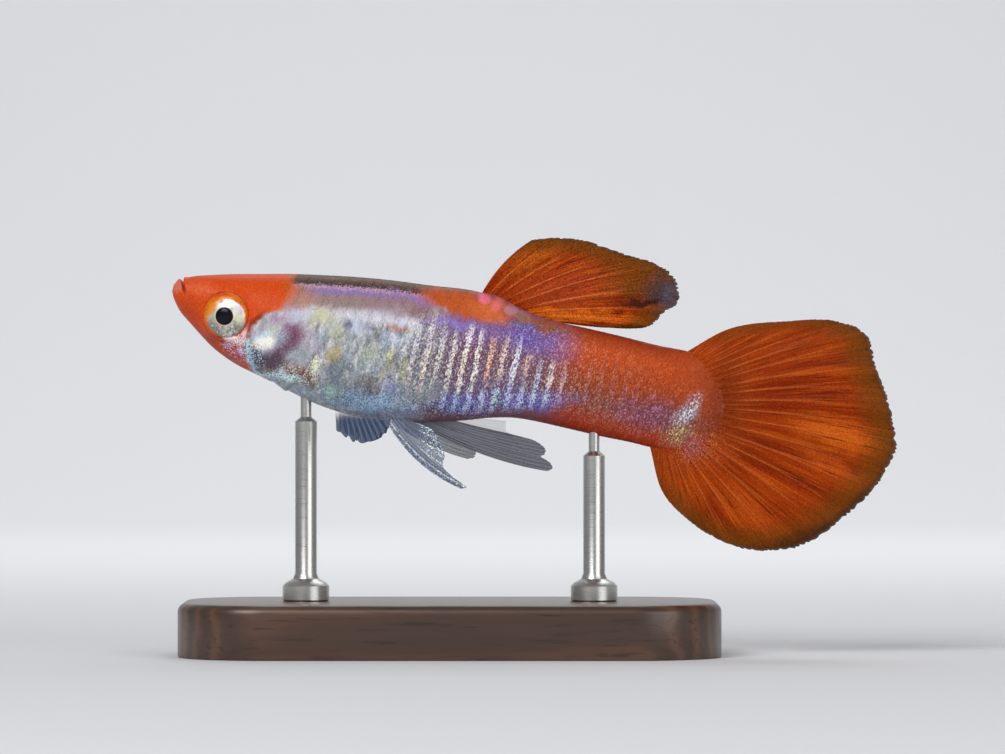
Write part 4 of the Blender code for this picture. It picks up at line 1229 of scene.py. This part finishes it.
def orange_fin_material(fins, name, lines, ray_strength, graininess, broad, at_edge, sparks=()):
    """Pigmented fin membrane: grainy with pigment cells, finely lined along its rays and dark at its edge."""
    material, tree, shader = new_material(name, {"Roughness": 0.55, "Specular IOR Level": 0.06})
    place = millimetre_place(tree)
    drawn = side_place(tree, place, 0.9)
    ray, reach, fan, from_edge = stored_numbers(tree, "ray", "reach", "fan", "from_edge")
    across = add_node(tree, "ShaderNodeCombineXYZ", {0: fan, 1: reach})

    # Broad pleats of light and shade, then fine lines, all running out along the rays
    pleats = stretched_noise(tree, across, (lines / 6, 1.2, 1.0), 2.0, 0.5)
    fine = stretched_noise(tree, across, (lines, 2.4, 1.0), 3.0, 0.6)
    grain = stretched_noise(tree, place, (12.0, 12.0, 12.0), 2.0, 0.75)
    colour = lay_over(tree, tuple(fins.orange), [
        (ramp_mask(tree, pleats, 0.50, 0.66, 0.75), linear("BA4C0A")),
        (ramp_mask(tree, pleats, 0.50, 0.36, 0.75), linear("7A2000")),
    ])
    colour = paint_patches(tree, colour, drawn, broad)
    outer = ramp_mask(tree, reach, 0.05, 0.70)
    # The dark fine lines are painted shade in fine grooves along the rays, stronger towards the edge
    groove_shade = add_node(tree, "ShaderNodeMath", {0: outer, 1: 0.65, 2: 0.20}, operation="MULTIPLY_ADD")
    faded = ramp_mask(tree, reach, 1.0, 0.40, ray_strength)
    on_ray = product(tree, ray, faded, ramp_mask(tree, reach, 0.06, 0.24))
    colour = lay_over(tree, colour, [
        (ramp_mask(tree, fine, 0.56, 0.66, 0.36), linear("CC6418")),
        (product(tree, ramp_mask(tree, fine, 0.46, 0.36), groove_shade), linear("5E1A02")),
        (on_ray, tuple(fins.orange_ray)),
    ])

    # The edge turns olive and then dark, and its last film lets a little light through
    ragged_edge = add_node(tree, "ShaderNodeMath", {0: fine, 1: 1.4, 2: from_edge}, operation="MULTIPLY_ADD")
    colour = lay_over(tree, colour, [
        (ramp_mask(tree, ragged_edge, 3.1, 1.1, 0.85), tuple(fins.margin)),
        (ramp_mask(tree, ragged_edge, 1.25, 0.62, 0.62), linear("46301A")),
    ])
    colour = paint_patches(tree, colour, drawn, at_edge)
    colour = grained(tree, colour, grain, graininess)
    if sparks:
        spark = paint_patches(tree, linear("000000"), drawn, sparks)
        glint = product(tree, ramp_mask(tree, grain, 0.55, 0.66), spark)
        colour = lay_over(tree, colour, [(glint, linear("E8C88C"))])
    alpha = add_node(tree, "ShaderNodeMapRange", {0: from_edge, 1: 0.0, 2: 0.22, 3: 0.70, 4: 1.0})
    bumps = add_node(tree, "ShaderNodeMath", {0: fine, 1: 2.0, 2: grain}, operation="MULTIPLY_ADD")
    relief = add_node(tree, "ShaderNodeBump", {"Height": bumps, "Strength": 0.30, "Distance": 0.02 * MM})
    link_inputs(shader, {"Base Color": colour, "Alpha": alpha, "Normal": relief})
    return material


def clear_fin_material():
    """Unpigmented fin membrane: see-through film, clouded in places, with pale bony rays that glint."""
    material, tree, shader = new_material(
        "clear_fin_membrane", {"Roughness": 0.30, "Specular IOR Level": 0.20}
    )
    ray, spark = stored_numbers(tree, "ray", "spark")
    solid, tint = stored_marks(tree, "tint")
    grain = stretched_noise(tree, millimetre_place(tree), (11.0, 11.0, 11.0), 2.0, 0.7)
    tint = grained(tree, tint, grain, 1.6)
    glint = product(tree, ramp_mask(tree, grain, 0.54, 0.64), spark)
    lit_ray = product(tree, ray, ramp_mask(tree, grain, 0.44, 0.56), spark, 1.8)
    colour = lay_over(tree, tint, [
        (product(tree, ray, 0.35), linear("B4BEC8")),
        (glint, linear("D0F2F4")),
        (lit_ray, linear("FFFFFF")),
    ])
    ray_film = product(tree, ray, solid)
    alpha = add_node(tree, "ShaderNodeMath", {0: ray_film, 1: 0.35, 2: solid}, operation="MULTIPLY_ADD")
    alpha = add_node(tree, "ShaderNodeMath", {0: alpha, 1: glint}, operation="ADD")
    alpha = add_node(tree, "ShaderNodeMath", {0: alpha, 1: lit_ray}, operation="ADD", use_clamp=True)
    link_inputs(shader, {"Base Color": colour, "Alpha": alpha})
    return material


def tinted(hex_colour, solid):
    """A colour for each point, with how solid the film is there as its alpha."""
    colours = np.tile(linear(hex_colour), (len(solid), 1))
    colours[:, 3] = solid
    return colours


def pectoral_tint(u, flat):
    """Hardly seen over the flank, and a slate-blue film below the belly."""
    below = smooth_step((13.6 - flat[:, 1]) / 0.8)
    return tinted("3C4C6C", 0.05 + 0.66 * below)


def pelvic_tint(u, flat):
    return tinted("5A6484", 0.36 + 0.34 * (1 - u))


def far_pelvic_tint(u, flat):
    return tinted("585C68", np.full(len(u), 0.46))


def gonopodium_tint(u, flat):
    """A cloudy band, with a nearly clear membrane over it."""
    return tinted("504A58", 0.14 + 0.56 * smooth_step((0.89 - u) / 0.05))


def pelvic_spark(u, r):
    """Bright along the leading rays and in specks near the trailing edge."""
    leading = smooth_step((0.34 - u) / 0.1)
    trailing = smooth_step((r - 0.45) / 0.3) * smooth_step((u - 0.4) / 0.2)
    return np.maximum(0.45 * leading, 0.9 * trailing)


class GUPPY_OT_tail_fin(bpy.types.Operator):
    """The fan of the tail fin, with forking rays and pleats"""

    bl_idname = "guppy.tail_fin"
    bl_label = "Tail fin"

    def execute(self, context):
        fins = context.scene.guppy_fins
        material = orange_fin_material(
            fins, "orange_tail_membrane", lines=210.0, ray_strength=0.45, graininess=1.9,
            broad=TAIL_PATCHES, at_edge=TAIL_EDGE, sparks=TAIL_SPARKS,
        )
        add_fin(fins, "tail_fan", "tail_fin", TAIL_SHAPE, tail_depth, material)
        return {"FINISHED"}


class GUPPY_OT_dorsal_fin(bpy.types.Operator):
    """The dorsal fin, swept back over the stalk"""

    bl_idname = "guppy.dorsal_fin"
    bl_label = "Dorsal fin"

    def execute(self, context):
        fins = context.scene.guppy_fins
        material = orange_fin_material(
            fins, "orange_dorsal_membrane", lines=80.0, ray_strength=0.85, graininess=3.2,
            broad=DORSAL_PATCHES, at_edge=DORSAL_TIP,
        )
        add_fin(fins, "dorsal_sail", "dorsal_fin", DORSAL_SHAPE, dorsal_depth, material)
        return {"FINISHED"}


class GUPPY_OT_clear_fins(bpy.types.Operator):
    """The see-through pectoral and pelvic fins and the gonopodium"""

    bl_idname = "guppy.clear_fins"
    bl_label = "Clear fins"

    def execute(self, context):
        fins = context.scene.guppy_fins
        material = clear_fin_material()
        near = PELVIC_SHAPE, pelvic_tint, pelvic_spark
        far = FAR_PELVIC_SHAPE, far_pelvic_tint, None
        for side_name, side, (pelvic, film, spark) in (("left", -1, near), ("right", 1, far)):

            def pectoral_depth(u, r, run, side=side):
                return side * (2.0 + 1.9 * (1 - np.exp(-run / 1.5))) + 0.05 * r * np.cos(2 * math.pi * 10 * u)

            def pelvic_depth(u, r, run, side=side):
                return side * (0.62 + 0.15 * run) + 0.04 * r * np.cos(2 * math.pi * 5 * u)

            add_fin(
                fins, f"pectoral_fan_{side_name}", f"pectoral_fin_{side_name}", PECTORAL_SHAPE,
                pectoral_depth, material, pectoral_tint,
            )
            add_fin(
                fins, f"pelvic_fan_{side_name}", f"pelvic_fin_{side_name}", pelvic, pelvic_depth,
                material, film, spark,
            )
        add_fin(
            fins, "gonopodium_fold", "gonopodium", GONOPODIUM_SHAPE, gonopodium_depth, material,
            gonopodium_tint,
        )
        return {"FINISHED"}


class GUPPY_OT_stand(bpy.types.Operator):
    """The wooden base and the two turned steel rods"""

    bl_idname = "guppy.stand"
    bl_label = "Stand"

    def execute(self, context):
        stand = context.scene.guppy_stand
        self.add_base(stand)
        steel = self.steel_material(stand)
        for name in ("stand_rod_front", "stand_rod_rear"):
            self.add_rod(name, steel)
        return {"FINISHED"}

    def add_base(self, stand):
        low, high = (Vector(corner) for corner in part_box("stand_base"))
        bm = bmesh.new()
        bmesh.ops.create_cube(bm, size=1.0)
        bmesh.ops.scale(bm, vec=high - low, verts=bm.verts)
        bmesh.ops.translate(bm, vec=(low + high) / 2, verts=bm.verts)
        upright = [e for e in bm.edges if abs(e.verts[0].co.z - e.verts[1].co.z) > MM]
        bmesh.ops.bevel(
            bm, geom=upright, affect="EDGES", offset=stand.corner, segments=24, profile=0.5, material=-1
        )
        rim = [e for e in bm.edges if min(v.co.z for v in e.verts) > high.z - 0.01 * MM]
        bmesh.ops.bevel(bm, geom=rim, affect="EDGES", offset=stand.rim, segments=6, profile=0.5, material=-1)
        foot = [e for e in bm.edges if max(v.co.z for v in e.verts) < low.z + 0.01 * MM]
        bmesh.ops.bevel(bm, geom=foot, affect="EDGES", offset=0.12 * MM, segments=2, profile=0.5, material=-1)
        wood = self.wood_material(stand)
        base = add_piece("base_block", mesh_from(bm, "base_block"), wood, ("stand_base",))
        base.data.set_sharp_from_angle(angle=SHARP_ANGLE)

    def add_rod(self, name, steel):
        """A rod turned with a round foot, and with a thin pin that enters the belly."""
        low, high = (Vector(corner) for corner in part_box(name))
        middle = (low + high) / 2
        foot = (high.x - low.x) / 2
        rod = 0.6 * MM
        floor = low.z - 0.3 * MM
        top = high.z + 0.6 * MM
        neck = high.z - 1.2 * MM
        pin = 0.3 * MM
        profile = [
            (0.0, floor), (foot - 0.08 * MM, floor), (foot, floor + 0.08 * MM), (foot, floor + 0.85 * MM),
            (foot - 0.2 * MM, floor + 1.05 * MM), (rod + 0.35 * MM, floor + 1.12 * MM),
            (rod + 0.12 * MM, floor + 1.25 * MM), (rod, floor + 1.55 * MM), (rod, neck),
            (pin, neck + 0.25 * MM), (pin, top), (0.0, top),
        ]
        bm = bmesh.new()
        verts = [bm.verts.new((radius, 0, z)) for radius, z in profile]
        edges = [bm.edges.new(pair) for pair in zip(verts, verts[1:])]
        bmesh.ops.spin(
            bm, geom=verts + edges, axis=(0, 0, 1), cent=(0, 0, 0), steps=48, angle=2 * math.pi,
            use_merge=True,
        )
        bmesh.ops.remove_doubles(bm, verts=bm.verts, dist=1e-7)
        bmesh.ops.translate(bm, vec=(middle.x, middle.y, 0), verts=bm.verts)
        bm.normal_update()
        bmesh.ops.recalc_face_normals(bm, faces=bm.faces)
        piece = add_piece(f"{name}_turned", mesh_from(bm, name), steel, (name,))
        piece.data.set_sharp_from_angle(angle=SHARP_ANGLE)

    def wood_material(self, stand):
        """Satin-varnished walnut: dark brown with darker pores and bands along the grain."""
        material, tree, shader = new_material(
            "varnished_walnut", {"Roughness": 0.38, "Coat Weight": 0.4, "Coat Roughness": 0.25}
        )
        place = millimetre_place(tree)
        grain_place = add_node(
            tree, "ShaderNodeMapping", {0: place, 2: (0.0, 0.05, 0.04), 3: (0.10, 1.0, 1.0)}
        )
        bands = add_node(
            tree,
            "ShaderNodeTexWave",
            {"Vector": grain_place, "Scale": 0.35, "Distortion": 5.0, "Detail": 3.0, "Detail Scale": 1.2},
            output="Fac", bands_direction="Y",
        )
        colour = add_node(tree, "ShaderNodeValToRGB", {0: bands}, stops=[
            (0.0, linear("402A1C")), (1.0, linear("5C3D2A")), (0.55, tuple(stand.wood)),
        ])
        pore_place = add_node(tree, "ShaderNodeMapping", {0: place, 3: (0.35, 5.0, 5.0)})
        pores = add_node(tree, "ShaderNodeTexNoise", {"Vector": pore_place, "Scale": 1.0, "Detail": 4.0})
        pore = add_node(tree, "ShaderNodeMapRange", {0: pores, 1: 0.42, 2: 0.30, 4: 0.7})
        colour = lay_over(tree, colour, [(pore, linear("1E120B"))])
        relief = add_node(tree, "ShaderNodeBump", {"Height": pores, "Strength": 0.25, "Distance": 0.03 * MM})
        link_inputs(shader, {"Base Color": colour, "Normal": relief})
        return material

    def steel_material(self, stand):
        """Stainless steel as it comes off a lathe: bright with fine rings round it."""
        material, tree, shader = new_material(
            "turned_steel", {"Base Color": tuple(stand.steel), "Metallic": 1.0}
        )
        ring_place = add_node(tree, "ShaderNodeMapping", {0: millimetre_place(tree), 3: (0.4, 0.4, 14.0)})
        rings = add_node(tree, "ShaderNodeTexNoise", {"Vector": ring_place, "Scale": 1.0, "Detail": 3.0})
        rough = add_node(tree, "ShaderNodeMapRange", {0: rings, 3: 0.20, 4: 0.40})
        relief = add_node(tree, "ShaderNodeBump", {"Height": rings, "Strength": 0.15, "Distance": 0.01 * MM})
        link_inputs(shader, {"Roughness": rough, "Normal": relief})
        return material


class GUPPY_OT_stage(bpy.types.Operator):
    """The pale floor that sweeps up behind, the soft lights and the camera"""

    bl_idname = "guppy.stage"
    bl_label = "Stage"

    def execute(self, context):
        stage = context.scene.guppy_stage
        self.add_sweep(stage)
        self.add_lights(context, stage)
        self.add_camera(context, stage)
        context.scene.view_settings.view_transform = "Standard"
        return {"FINISHED"}

    def add_sweep(self, stage):
        """A floor, a quarter round and a wall, from one line that is extruded."""
        front, bend, radius, top, half = -0.9, 0.30, 0.25, 0.9, 1.2
        line = [(front, 0.0), (bend, 0.0)]
        turns = np.linspace(0, math.pi / 2, 33)[1:]
        line += [(bend + radius * math.sin(turn), radius * (1 - math.cos(turn))) for turn in turns]
        line += [(bend + radius, top)]
        bm = bmesh.new()
        verts = [bm.verts.new((-half, y, z)) for y, z in line]
        edges = [bm.edges.new(pair) for pair in zip(verts, verts[1:])]
        made = bmesh.ops.extrude_edge_only(bm, edges=edges)
        moved = [item for item in made["geom"] if isinstance(item, bmesh.types.BMVert)]
        bmesh.ops.translate(bm, vec=(2 * half, 0, 0), verts=moved)
        bm.normal_update()
        mesh = mesh_from(bm, "sweep")
        sweep = bpy.data.objects.new("sweep", mesh)
        bpy.context.scene.collection.objects.link(sweep)
        mesh.shade_smooth()
        # Matt paper, which takes soft shadows and has no gloss of its own
        material, _, _ = new_material("studio_paper", {"Base Color": tuple(stage.floor), "Roughness": 0.85})
        mesh.materials.append(material)

    def add_lights(self, context, stage):
        """A large key light from the upper left, a weaker fill, one from behind, and one for the wall."""
        fish = Vector((3 * MM, 0, 16 * MM))
        wall = Vector((0, 0.50, 0.05))
        lamps = (
            ("key", (-0.16, -0.30, 0.26), fish, 0.22, 1.0),
            ("fill", (0.26, -0.28, 0.12), fish, 0.26, 0.45),
            ("rim", (0.05, 0.22, 0.30), fish, 0.20, 0.25),
            ("wall", (0.0, 0.22, 0.28), wall, 0.30, 0.55),
        )
        for name, place, aim, size, share in lamps:
            lamp = bpy.data.lights.new(name, "AREA")
            lamp.energy = stage.key * share
            lamp.size = size
            holder = bpy.data.objects.new(name, lamp)
            holder.location = place
            holder.rotation_euler = (aim - Vector(place)).to_track_quat("-Z", "Y").to_euler()
            context.scene.collection.objects.link(holder)
        world = bpy.data.worlds.new("studio")
        world.use_nodes = True
        background = world.node_tree.nodes["Background"]
        background.inputs["Color"].default_value = linear("F2F4F8")
        background.inputs["Strength"].default_value = 0.30
        context.scene.world = world

    def add_camera(self, context, stage):
        """A long lens square on to the fish's side, framed as the photograph is."""
        lens = bpy.data.cameras.new("camera")
        lens.sensor_width = 36.0
        lens.lens = lens.sensor_width * stage.distance / (PHOTO_WIDTH / PHOTO_SCALE * MM)
        lens.clip_start = 0.01
        lens.clip_end = 10.0
        camera = bpy.data.objects.new("camera", lens)
        camera.location = (PHOTO_CENTRE[0] * MM, -stage.distance, PHOTO_CENTRE[1] * MM)
        camera.rotation_euler = (math.pi / 2, 0, 0)
        context.scene.collection.objects.link(camera)
        context.scene.camera = camera


OPERATORS = (
    GUPPY_OT_stage,
    GUPPY_OT_skin,
    GUPPY_OT_scales,
    GUPPY_OT_eyes,
    GUPPY_OT_tail_fin,
    GUPPY_OT_dorsal_fin,
    GUPPY_OT_clear_fins,
    GUPPY_OT_stand,
)


class GUPPY_PT_panel(bpy.types.Panel):
    """The sizes, the colours and the steps that make the model."""

    bl_idname = "GUPPY_PT_panel"
    bl_label = "Guppy"
    bl_space_type = "VIEW_3D"
    bl_region_type = "UI"
    bl_category = "Guppy"

    def draw(self, context):
        layout = self.layout
        for attribute, group_type in SETTINGS.items():
            group = getattr(context.scene, attribute)
            box = layout.box()
            box.label(text=group_type.__doc__)
            for name in group_type.__annotations__:
                box.prop(group, name)
        for operator in OPERATORS:
            layout.operator(operator.bl_idname)


CLASSES = tuple(SETTINGS.values()) + OPERATORS + (GUPPY_PT_panel,)


def register():
    for cls in CLASSES:
        bpy.utils.register_class(cls)
    for attribute, group_type in SETTINGS.items():
        setattr(bpy.types.Scene, attribute, PointerProperty(type=group_type))


def unregister():
    for attribute in SETTINGS:
        delattr(bpy.types.Scene, attribute)
    for cls in reversed(CLASSES):
        bpy.utils.unregister_class(cls)


def main():
    register()
    for operator in OPERATORS:
        group, name = operator.bl_idname.split(".")
        getattr(getattr(bpy.ops, group), name)()


if __name__ == "__main__":
    main()
